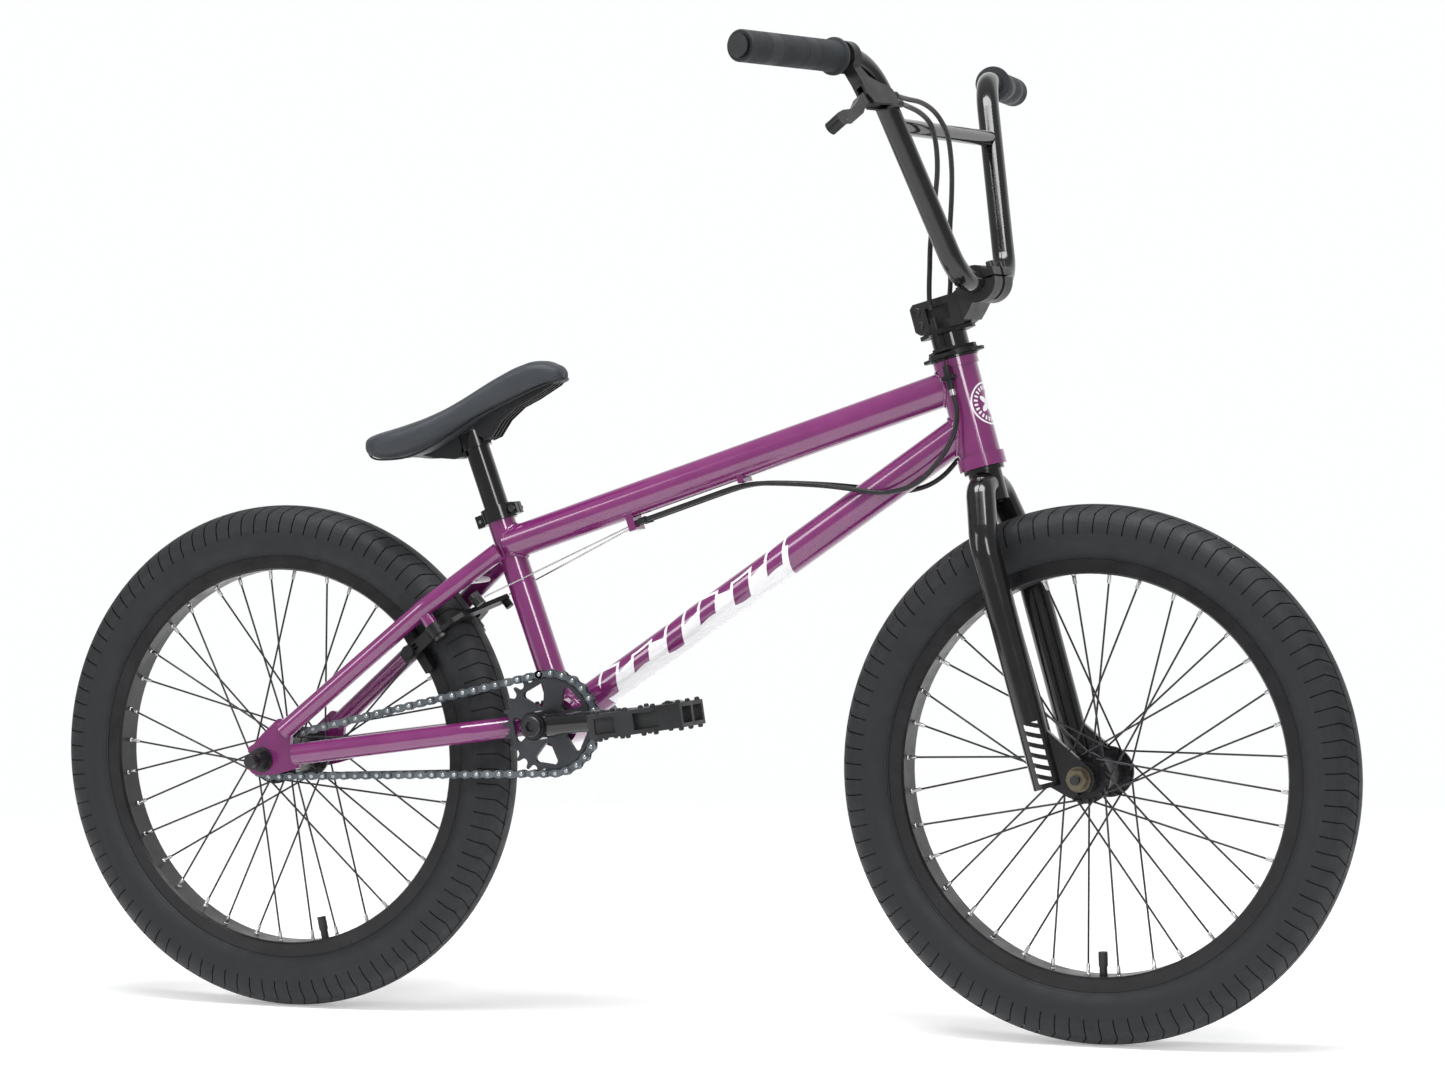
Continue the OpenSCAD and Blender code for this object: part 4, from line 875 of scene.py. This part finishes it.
    def nipples(self) -> None:
        """A bright nipple at the rim end of each spoke."""
        bm = bmesh.new()
        outline = [(0.0, 0.0), (2.9, 0.0), (2.7, 1.4), (2.0, 2.2), (1.9, 9.5), (1.6, 10.6), (1.02, 11.0),
                   (1.02, 10.0)]
        profile = [(r * MM, h * MM) for r, h in outline]
        pitch = 360 / self.pairs
        for side, flange in zip((-1, 1), self.flanges):
            turn = self.lace + (pitch / 4 if side > 0 else 0.0)
            for j in range(self.pairs):
                for out in (-1, 1):
                    hub_a = math.radians(turn + pitch * j + (pitch / 2 if out > 0 else 0))
                    rim_a = hub_a - math.radians(self.cross_deg * out)
                    lean = flange + (3.6 if out > 0 else -2.6)
                    a = self.on_circle(self.hole_r, hub_a, side * lean)
                    b = self.on_circle(self.rim_r, rim_a, side * self.rim_offset)
                    way = (a - b).normalized()
                    place = Matrix.Translation(self.axle) @ frame_matrix(b * MM - way * 0.0008, way)
                    spun(bm, profile, 10, place)
        self.shop.piece(bm, f"{self.end}_nipples", f"{self.end}_wheel", self.shop.paints.steel)

    def build(self, finish: Finish) -> None:
        """Makes the wheel's pieces."""
        self.tyre(finish)
        self.nipples()
        paints, shop = self.shop.paints, self.shop
        shop.dress(paints.rim, f"{self.end}_rim")
        shop.dress(paints.satin, f"{self.end}_hub")
        shop.dress(paints.spoke, f"{self.end}_spokes")
        shop.dress(paints.tube, f"{self.end}_inner_tube")


@dataclass
class Drivetrain:
    """Chain of separate links, sprocket, cranks and pedals. Lengths are in millimetres."""

    shop: Workshop
    pitch: float = 12.7
    teeth: tuple[int, int] = (25, 9)
    chain_y: float = -45.0
    link_r: float = 4.3
    roller_r: float = 3.85
    roller_l: float = 4.0
    pin_r: float = 2.1
    pin_l: float = 8.9
    crank_l: float = 150.0
    crank_deg: float = 5.3
    crank_end_y: float = 89.0
    pedal_half: float = 11.5
    pedal_tilt: float = 8.0

    def pin_places(self) -> list[tuple[float, float]]:
        """Centres of the chain's pins in the side plane, in millimetres."""
        sprocket_r, driver_r = (self.pitch / 2 / math.sin(math.pi / n) for n in self.teeth)
        c, d = CRANK / MM, REAR_AXLE / MM
        run = (c.x - d.x, c.z - d.z)
        far, tilt = math.hypot(*run), math.degrees(math.atan2(run[1], run[0]))
        wedge = math.degrees(math.asin((sprocket_r - driver_r) / far))
        up, down = tilt + 90 + wedge, tilt - 90 - wedge
        on_sprocket = (up - down) / (360 / self.teeth[0])
        on_driver = (360 - up + down) / (360 / self.teeth[1])
        straight = far * math.cos(math.radians(wedge)) / self.pitch

        def at(center: Vector, r: float, deg: float) -> tuple[float, float]:
            """Point on a circle in the side plane."""
            return center.x + r * math.cos(math.radians(deg)), center.z + r * math.sin(math.radians(deg))

        def between(p: tuple[float, float], q: tuple[float, float], f: float) -> tuple[float, float]:
            """Point a share of the way from p to q."""
            return p[0] + (q[0] - p[0]) * f, p[1] + (q[1] - p[1]) * f

        places = []
        for s in range(round(on_sprocket + on_driver + 2 * straight)):
            if s <= on_sprocket:
                places.append(at(c, sprocket_r, up - s * 360 / self.teeth[0]))
            elif s <= on_sprocket + straight:
                f = (s - on_sprocket) / straight
                places.append(between(at(c, sprocket_r, down), at(d, driver_r, down), f))
            elif s <= on_sprocket + straight + on_driver:
                places.append(at(d, driver_r, down - (s - on_sprocket - straight) * 360 / self.teeth[1]))
            else:
                f = (s - on_sprocket - straight - on_driver) / straight
                places.append(between(at(d, driver_r, up), at(c, sprocket_r, up), f))
        return places

    def link_outline(self, p: Vector, q: Vector, waist: float) -> list[tuple[float, float]]:
        """Outline of a waisted side plate between two pins.

        Args:
            p: first pin's centre.
            q: second pin's centre.
            waist: half height at the middle.

        Returns:
            Its corners as (x, z).
        """
        along = (q - p).normalized()
        up = Vector((-along.z, 0, along.x))
        corners, arc, steps = [], 230, 6
        for center, start, sign in ((q, -115, 1), (p, 65, -1)):
            for k in range(steps + 1):
                a = math.radians(start + k * arc / steps)
                corners.append(center + self.link_r * (along * math.cos(a) + up * math.sin(a)))
            corners.append((p + q) / 2 + up * (waist * sign))
        return [(v.x, v.z) for v in corners]

    def chain(self) -> None:
        """Alternating inner and outer links, rollers and riveted pins."""
        links, rivets = bmesh.new(), bmesh.new()
        pins = [Vector((x, 0, z)) for x, z in self.pin_places()]
        # The number of links is odd, so the last one has both kinds of plate.
        for i, p in enumerate(pins):
            q = pins[(i + 1) % len(pins)]
            last = i == len(pins) - 1
            for sign in (-1, 1):
                for odd, inside, thick, waist in ((0, 3.0, 1.0, 2.3), (1, 2.0, 0.9, 2.6)):
                    if i % 2 == odd or last:
                        low = self.chain_y + sign * inside
                        plate(links, self.link_outline(p, q, waist), low, low + sign * thick)
            for bm, r, length, sides, soft in (
                (links, self.roller_r, self.roller_l, 12, 0.0), (rivets, self.pin_r, self.pin_l, 10, 0.4)
            ):
                base = Vector((p.x, self.chain_y - length / 2, p.z)) * MM
                place = frame_matrix(base, Vector((0, 1, 0)), Vector((1, 0, 0)))
                drum(bm, r * MM, length * MM, sides, place, soft * MM)
        paints = self.shop.paints
        self.shop.piece(links, "chain_links", "frame", paints.chain, ["chain"], sharp=40.0)
        self.shop.piece(rivets, "chain_rivets", "frame", paints.steel, sharp=40.0)

    def pedal_frame(self, side: int) -> Matrix:
        """Frame of a pedal: X forward, Y down its thickness, Z outwards."""
        a = math.radians(self.crank_deg)
        place = CRANK + Vector((math.cos(a), 0, math.sin(a))) * (side * self.crank_l * MM)
        tilt = Matrix.Rotation(math.radians(self.pedal_tilt), 4, "Z")
        turned = Matrix.Rotation(math.radians(90), 4, "X") @ tilt
        flip = Matrix.Diagonal((1, 1 if side > 0 else -1, 1, 1))
        return Matrix.Translation(place) @ flip @ turned

    def pedal_pins(self) -> None:
        """Moulded grip studs on both faces of each pedal."""
        profile = [(0.0028, 0.0), (0.0028, 0.0018), (0.0020, 0.0034), (0.0, 0.0036)]
        places = [(x, out) for x in (-46, 46) for out in (118, 141, 164)]
        places += [(x, out) for x in (-11.5, 11.5) for out in (112, 176)]
        places += [(x, 188) for x in (-30, 0, 30)]
        for side, body in ((1, "right_pedal"), (-1, "left_pedal")):
            bm = bmesh.new()
            frame = self.pedal_frame(side)
            for face in (-1, 1):
                way = Matrix.Rotation(math.radians(-90 * face), 4, "X")
                for x, out in places:
                    base = Matrix.Translation(Vector((x, face * self.pedal_half, out)) * MM)
                    spun(bm, profile, 8, frame @ base @ way)
            self.shop.piece(bm, f"{body}_studs", body, self.shop.paints.plastic, recalc=False)

    def spindle_bolts(self) -> None:
        """The socket head in the end of each side of the spindle."""
        bm = bmesh.new()
        for side in (-1, 1):
            base = CRANK + Vector((0, side * self.crank_end_y * MM, 0))
            place = frame_matrix(base, Vector((0, side, 0)), Vector((1, 0, 0)))
            socket_head(bm, 10.5 * MM, 4.5 * MM, 5.6 * MM, place)
        self.shop.piece(bm, "spindle_bolts", "crank", self.shop.paints.dark_steel)

    def build(self) -> None:
        """Makes the drivetrain's pieces and dresses the rest."""
        shop, paints = self.shop, self.shop.paints
        self.chain()
        self.spindle_bolts()
        self.pedal_pins()
        shop.dress(paints.sprocket, "sprocket")
        shop.dress(paints.dark_steel, "driver_cog", "crank_spindle", "crank_bolts")
        shop.dress(paints.black, "right_crank_arm", "left_crank_arm")
        shop.dress(paints.plastic, "right_pedal", "left_pedal")


@dataclass
class Saddle:
    """A slim stuffed saddle on a ribbed moulded base.

    The powers shape a section: under 1 they square it up, across, above and below. Dish is how far its
    underside is hollowed, as a share of its half height.
    """

    shop: Workshop
    sides: int = 32
    across_power: float = 0.76
    above_power: float = 0.64
    below_power: float = 0.58
    dish: float = 0.30
    fin_t: float = 1.4

    def sections(self) -> list[tuple[float, float, float, float]]:
        """Cross-sections from tail to nose as (x, top, bottom, half width) in millimetres."""
        return [
            (-330, 589, 584, 28), (-325, 595, 577, 46), (-314, 599.5, 571, 60), (-298, 603.5, 569, 68),
            (-273, 611, 571, 66), (-249, 620, 581, 58), (-226, 632, 596, 46), (-204, 646, 611, 35.5),
            (-181, 659, 622.5, 28.5), (-161, 667.5, 632, 24.5), (-144, 670.5, 640, 21.5),
            (-130, 667, 646, 16.5), (-120, 660, 650, 9),
        ]

    def cushion(self) -> None:
        """Lofts the cover over its sections, with a flat crown, a rolled edge and a hollow underside."""
        bm = bmesh.new()
        rings = []
        for x, top, bottom, half in self.sections():
            middle, tall = (top + bottom) / 2, (top - bottom) / 2
            verts = []
            for k in range(self.sides):
                a = math.tau * k / self.sides
                c, s = math.cos(a), math.sin(a)
                power = self.above_power if s > 0 else self.below_power
                y = half * math.copysign(abs(c) ** self.across_power, c)
                z = middle + tall * math.copysign(abs(s) ** power, s)
                if s < 0:
                    z += tall * self.dish * (1 - abs(c)) ** 1.5
                verts.append(bm.verts.new((x * MM, y * MM, z * MM)))
            rings.append(chain_edges(bm, verts, closed=True))
        for a, b in zip(rings, rings[1:]):
            bmesh.ops.bridge_loops(bm, edges=a + b)
        for ring in (rings[0], rings[-1]):
            face = bmesh.ops.contextual_create(bm, geom=ring)["faces"]
            bmesh.ops.poke(bm, faces=face)
        bmesh.ops.recalc_face_normals(bm, faces=bm.faces[:])
        bmesh.ops.subdivide_edges(bm, edges=bm.edges[:], cuts=1, use_grid_fill=True, smooth=1.0)
        seat = self.shop.paints.seat
        obj = self.shop.piece(bm, "saddle_cover", "frame", seat, ["seat_padding"], sharp=80.0)
        modifier = obj.modifiers.new("round", "SUBSURF")
        modifier.levels = modifier.render_levels = 2

    def piping(self) -> None:
        """A thin moulded lip where the cover is tucked under the edge."""
        out, rise = 0.84, 0.08
        right = [(x, -half * out, bottom + (top - bottom) * rise) for x, top, bottom, half in self.sections()]
        left = [(x, -y, z) for x, y, z in right]
        tail, nose = (-331, 0, 585), (-117.5, 0, 652)
        points = smooth_route([tail, *right, nose, *left[::-1], tail], Matrix.Identity(4), 5)
        edge = tube_mesh("saddle_edge", points, 1.1 * MM, 2)
        self.shop.piece(edge, "saddle_edge", "frame", self.shop.paints.plastic)

    def fins(self) -> None:
        """Four thin fins that stiffen the base from the post to the nose."""
        outline = [(-207, 589.5), (-197, 593.5), (-185.5, 610), (-170, 623), (-153, 631), (-129, 645),
                   (-126, 648), (-155, 636), (-172, 628), (-188, 615), (-199, 599), (-207, 595)]
        bm = bmesh.new()
        for y in (-12.2, -4.4, 3.0, 10.8):
            plate(bm, outline, y, y + self.fin_t)
        self.shop.piece(bm, "saddle_fins", "frame", self.shop.paints.plastic)

    def build(self) -> None:
        """Makes the saddle."""
        self.cushion()
        self.piping()
        self.fins()
        self.shop.dress(self.shop.paints.plastic, "seat_base")
        self.shop.dress(self.shop.paints.black, "seat_post", "seat_clamp")


@dataclass
class Cockpit:
    """Ribbed grips, cables and the finishes of the bars, stem and levers. Lengths are in millimetres."""

    shop: Workshop
    bar_r: float = 11.1
    grip_r: float = 15.0
    grip_l: float = 154.0
    grip_start: float = 216.0
    rib_pitch: float = 2.4
    housing_r: float = 2.5

    def bar_axis(self, side: int, y: float) -> Matrix:
        """Frame on the grip stretch of the bar: origin at a side distance, Z outwards."""
        # Past its last bend, at 163 mm, the bar sweeps back and up.
        past, back, up = y - 163.0, 0.2, 0.063
        point = STEER @ (Vector((49 - back * past, side * y, 389 + up * past)) * MM)
        way = STEER.to_3x3() @ Vector((-back, side, up))
        return frame_matrix(point, way, Vector((0, 0, 1)))

    def grip_outline(self) -> list[tuple[float, float]]:
        """Section of a grip as (radius, distance from its inner end)."""
        r, bore, length = self.grip_r, self.bar_r + 0.02, self.grip_l
        flange = [(bore, 0.0), (r + 2.6, 0.0), (r + 3.0, 0.8), (r + 3.0, 2.6), (r + 2.4, 3.4), (r - 0.4, 4.2)]
        ribs: list[tuple[float, float]] = []
        h = 7.0
        while h < length - 8:
            if 44 < h < 62 or 104 < h < 122:
                ribs += [(r, h), (r, h + self.rib_pitch)]
            else:
                ribs += [(r - 1.2, h), (r - 0.1, h + 0.45), (r, h + 1.1), (r - 0.1, h + 1.75)]
            h += self.rib_pitch
        end = [(r - 0.6, length - 6), (r, length - 5), (r, length - 1), (r - 1.2, length), (bore, length)]
        return flange + ribs + end

    def grips(self) -> None:
        """Soft grips: an inner flange, rows of fine ribs and plain bands between them."""
        for side, name in ((-1, "right_grip"), (1, "left_grip")):
            bm = bmesh.new()
            loop = ring_of(bm, [(r * MM, 0.0, h * MM) for r, h in self.grip_outline()])
            edges = chain_edges(bm, loop, closed=True)
            bmesh.ops.spin(bm, geom=loop + edges, cent=(0, 0, 0), axis=(0, 0, 1), angle=math.tau, steps=48,
                           use_merge=True)
            bmesh.ops.remove_doubles(bm, verts=bm.verts[:], dist=1e-6)
            bmesh.ops.transform(bm, matrix=self.bar_axis(side, self.grip_start), verts=bm.verts[:])
            covers = ["grips"] if side < 0 else []
            self.shop.piece(bm, name, "fork", self.shop.paints.grip, covers, sharp=30.0)

    def cables(self) -> None:
        """The four outer housings, along the routes that hold them."""
        mirrored = [(x, -y, z) for x, y, z in LOWER_ROUTE]
        routes: list[tuple[str, str, Any, Matrix, list[str]]] = [
            ("left_lower_housing", "frame", LOWER_ROUTE, Matrix.Identity(4), ["lower_cable_housings"]),
            ("right_lower_housing", "frame", mirrored, Matrix.Identity(4), []),
            ("right_upper_housing", "fork", RIGHT_UPPER_ROUTE, STEER, ["upper_cable_housings"]),
            ("left_upper_housing", "fork", LEFT_UPPER_ROUTE, STEER, []),
        ]
        for name, body, route, matrix, covers in routes:
            obj = tube_mesh(name, smooth_route(route, matrix), self.housing_r * MM)
            self.shop.piece(obj, name, body, self.shop.paints.cable, covers, sharp=60.0)

    def ferrules(self) -> None:
        """The black ends of the lower housings, in front of the cable stop."""
        bm = bmesh.new()
        (x, y, z), before = LOWER_ROUTE[-1], LOWER_ROUTE[-2]
        way = Vector((before[0] - x, 0.0, before[2] - z)).normalized()
        for side in (-1, 1):
            place = frame_matrix(Vector((x + 3.0, side * y, z + 1.0)) * MM, way)
            drum(bm, 3.3 * MM, 7.0 * MM, 16, place, 0.0004)
            drum(bm, 3.9 * MM, 2.2 * MM, 6, place @ Matrix.Translation((0, 0, 6.5 * MM)))
        self.shop.piece(bm, "cable_ferrules", "frame", self.shop.paints.satin)

    def stem_sockets(self) -> None:
        """The socket heads of the four cap bolts, on top of the stem, and of the two pinch bolts."""
        bm = bmesh.new()
        for x in (32.8, 65.2):
            for y in (-15.5, 15.5):
                place = STEER @ Matrix.Translation(Vector((x, y, 188.3)) * MM)
                socket_head(bm, 3.9 * MM, 2.2 * MM, 2.4 * MM, place)
        for z in (149.0, 163.0):
            place = STEER @ frame_matrix(Vector((-19, -19.4, z)) * MM, Vector((0, -1, 0)), Vector((1, 0, 0)))
            socket_head(bm, 4.1 * MM, 1.4 * MM, 2.4 * MM, place)
        self.shop.piece(bm, "stem_sockets", "fork", self.shop.paints.dark_steel)

    def build(self) -> None:
        """Makes the cockpit's pieces and dresses the rest."""
        self.grips()
        self.stem_sockets()
        self.ferrules()
        self.cables()
        shop, paints = self.shop, self.shop.paints
        shop.dress(paints.fork, "fork_legs")
        shop.dress(paints.black, "fork_steerer", "headset_cover", "handlebar", "handlebar_crossbar")
        shop.dress(paints.satin, "brake_lever", "brake_lever_perch", "upper_cable_plate", "gyro_upper_ring",
                   "gyro_lower_ring", "lower_cable_tabs")
        shop.dress(paints.stem, "stem", "stem_cap")
        shop.dress(paints.dark_steel, "stem_bolts", "front_axle")
        shop.dress(paints.zinc, "front_axle_nuts")
        shop.dress(paints.plastic, "bar_end_plugs")


@dataclass
class PaintedFrame:
    """Weld beads and the finishes of the frame and what is bolted to it."""

    shop: Workshop
    bead_r: float = 2.3
    bead_steps: int = 96
    bead_sides: int = 8
    ripples: int = 22
    ripple_depth: float = 0.10

    def tree(self, *nodes: str) -> BVHTree:
        """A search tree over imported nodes' faces."""
        bm = bmesh.new()
        for node in nodes:
            bm.from_mesh(self.shop.frame["nodes"][node].data)
        found = BVHTree.FromBMesh(bm)
        bm.free()
        return found

    def weld(self, name: str, start: Vector, end: Vector, radius: float, nodes: Sequence[str]) -> None:
        """A bead where a tube's end meets its neighbours.

        Args:
            name: the piece's name.
            start: a point on the tube's axis, away from the joint.
            end: a point on the axis past the joint.
            radius: the tube's radius.
            nodes: the neighbours that it meets.
        """
        tree = self.tree(*nodes)
        way = (end - start).normalized()
        frame = frame_matrix(start, way)
        points = []
        for k in range(self.bead_steps):
            a = math.tau * k / self.bead_steps
            ripple = 1.0 + self.ripple_depth * math.sin(a * self.ripples)
            origin = frame @ (Vector((math.cos(a), math.sin(a), 0)) * (radius + 0.0002))
            hit = tree.ray_cast(origin, way, (end - start).length)
            if hit[0] is not None:
                points.append((hit[0], ripple))
        if len(points) < self.bead_steps * 0.6:
            log.warning("%s: only %d points met", name, len(points))
            return
        bm = bmesh.new()
        rings = []
        count = len(points)
        for i, (point, ripple) in enumerate(points):
            ahead, behind = points[(i + 1) % count][0], points[i - 1][0]
            m = frame_matrix(point, ahead - behind, way)
            verts = [
                bm.verts.new(m @ (Vector((math.cos(b), math.sin(b), 0)) * (self.bead_r * MM * ripple)))
                for b in (math.tau * j / self.bead_sides for j in range(self.bead_sides))
            ]
            rings.append(chain_edges(bm, verts, closed=True))
        for a, b in zip(rings, rings[1:] + rings[:1]):
            bmesh.ops.bridge_loops(bm, edges=a + b)
        self.shop.piece(bm, name, "frame", self.shop.paints.frame, sharp=70.0)

    def build(self) -> None:
        """Makes the welds and dresses the frame."""
        def v(x: float, z: float, y: float = 0.0) -> Vector:
            """A point in millimetres."""
            return Vector((x, y, z)) * MM

        top_rear, top_front = v(-185.3, 483.3), v(308.8, 642)
        down_rear, down_front = v(-119, 309), v(320, 601.5)
        top_middle, down_middle = (top_rear + top_front) / 2, (down_rear + down_front) / 2
        shell, seat = "bottom_bracket_shell", "seat_tube"
        welds = [
            ("top_tube_head", top_middle, top_front, 17.0, ["head_tube"]),
            ("top_tube_seat", top_middle, top_rear, 17.0, [seat]),
            ("down_tube_head", down_middle, down_front, 17.5, ["head_tube"]),
            ("down_tube_shell", down_middle, down_rear, 17.5, [shell, seat]),
            ("seat_tube_shell", SEAT_TUBE @ Vector((0, 0, 0.1)), SEAT_FOOT, 14.3, [shell]),
        ]
        for side, word in ((-1, "right"), (1, "left")):
            welds += [
                (f"{word}_chain_stay", v(-176, 298, side * 30), v(-130, 303.8, side * 22.8), 11.0, [shell]),
                (f"{word}_seat_stay", v(-262, 420, side * 43), v(-184, 480.2, side * 18.2), 9.5,
                 [seat, "top_tube"]),
            ]
        for name, start, end, radius, nodes in welds:
            self.weld(f"weld_{name}", start, end, radius * MM, nodes)
        shop, paints = self.shop, self.shop.paints
        shop.dress(paints.frame, "head_tube", "top_tube", "down_tube", "seat_tube", "bottom_bracket_shell",
                   "seat_stays", "chain_stays", "rear_dropouts", "frame_fittings")
        shop.dress(paints.steel, "headset_bearings", "bottom_bracket_bearings", "brake_wires")
        shop.dress(paints.dark_steel, "rear_axle", "rear_axle_nuts", "frame_bolts")
        shop.dress(paints.satin, "right_brake_arm", "left_brake_arm")


@dataclass
class Studio:
    """Pale floor, soft lights and the camera.

    Angles are in degrees. The floor fades out between two distances from its middle, in metres.
    """

    target: Vector = Vector((0.05238, 0.0, 0.4868))
    distance: float = 4.39385
    azimuth: float = 23.46
    elevation: float = 1.94
    roll: float = -0.73
    lens: float = 109.35
    fade: tuple[float, float] = (1.3, 3.0)
    wall: float = 1.0
    room: float = 0.40

    def camera(self) -> None:
        """A long lens, level with the middle of the bike and a little ahead of it."""
        a, e, r = (math.radians(v) for v in (self.azimuth, self.elevation, self.roll))
        back = Vector((math.sin(a) * math.cos(e), -math.cos(a) * math.cos(e), math.sin(e)))
        right = Vector((math.cos(a), math.sin(a), 0))
        up = back.cross(right)
        cam_x = right * math.cos(r) + up * math.sin(r)
        cam_y = up * math.cos(r) - right * math.sin(r)
        data = bpy.data.cameras.new("camera")
        data.lens = self.lens
        data.sensor_width = 36.0
        data.clip_end = 50.0
        obj = link_object("camera", data)
        turned = Matrix((cam_x, cam_y, back)).transposed().to_4x4()
        obj.matrix_world = Matrix.Translation(self.target + back * self.distance) @ turned
        bpy.context.scene.camera = obj

    def light(self, name: str, place: Sequence[float], size: tuple[float, float], power: float) -> None:
        """A softbox that faces the bike.

        Args:
            name: its name.
            place: its middle.
            size: its width and height.
            power: in watts.
        """
        data = bpy.data.lights.new(name, "AREA")
        data.shape = "RECTANGLE"
        data.size, data.size_y = size
        data.energy = power
        obj = link_object(name, data)
        way = Vector(place) - self.target
        obj.matrix_world = Matrix.Translation(place) @ way.to_track_quat("Z", "Y").to_matrix().to_4x4()

    def floor(self) -> None:
        """A wide pale floor that the tyres stand on."""
        bm = bmesh.new()
        bmesh.ops.create_grid(bm, x_segments=1, y_segments=1, size=20.0)
        obj = mesh_object("floor", bm)
        shader = Shader("floor")
        start, end = self.fade
        far = shader.length(shader.x, shader.y)
        shader.dress(
            Base_Color=shader.blend(shader.noise(0.4, 2.0), (0.86, 0.86, 0.865), (0.89, 0.89, 0.892)),
            Roughness=0.9,
            Specular_IOR_Level=0.1,
            Alpha=shader.ramp(far, start, end, 1.0, 0.0),
            Emission_Color=(1.0, 1.0, 1.0),
            Emission_Strength=0.30,
        )
        obj.data.materials.append(shader.material)

    def world(self) -> None:
        """A bright wall on the far side of the bike, in a dimmer room."""
        world = bpy.data.worlds.new("studio")
        world.use_nodes = True
        nodes, links = world.node_tree.nodes, world.node_tree.links
        background = nodes["Background"]
        background.inputs[0].default_value = (0.99, 0.995, 1.0, 1.0)
        coords = nodes.new("ShaderNodeTexCoord")
        split = nodes.new("ShaderNodeSeparateXYZ")
        links.new(coords.outputs["Generated"], split.inputs[0])
        ramp = nodes.new("ShaderNodeMapRange")
        ramp.interpolation_type = "SMOOTHSTEP"
        for key, value in (("From Min", 0.5), ("From Max", 0.8), ("To Min", self.room),
                           ("To Max", self.wall)):
            ramp.inputs[key].default_value = value
        links.new(split.outputs[1], ramp.inputs["Value"])
        links.new(ramp.outputs[0], background.inputs[1])
        bpy.context.scene.world = world

    def build(self) -> None:
        """Sets up the camera, the lights and the floor."""
        self.camera()
        self.floor()
        self.world()
        for name, place, size, power in (
            ("overhead", (0.2, -0.7, 2.9), (2.8, 0.8), 85.0),
            ("key", (2.4, -3.2, 2.4), (1.0, 1.8), 55.0),
            ("fill", (-2.8, -2.6, 1.6), (0.9, 2.0), 30.0),
        ):
            self.light(name, place, size, power)
        scene = bpy.context.scene
        scene.view_settings.view_transform = "Standard"
        scene.view_settings.look = "None"


def main() -> None:
    """Loads the frame and builds each sub-assembly in order."""
    logging.basicConfig(level=logging.INFO, format="%(message)s")
    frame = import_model()
    shop = Workshop(frame, Paints())
    Studio().build()
    Wheel(shop, "front", FRONT_AXLE, (36.0, 36.0), 22.2, -83.8).build(shop.paints.front_tyre)
    Wheel(shop, "rear", REAR_AXLE, (32.0, 37.0), 24.2, -73.5).build(shop.paints.rear_tyre)
    Drivetrain(shop).build()
    Saddle(shop).build()
    Cockpit(shop).build()
    PaintedFrame(shop).build()


if __name__ == "__main__":
    main()
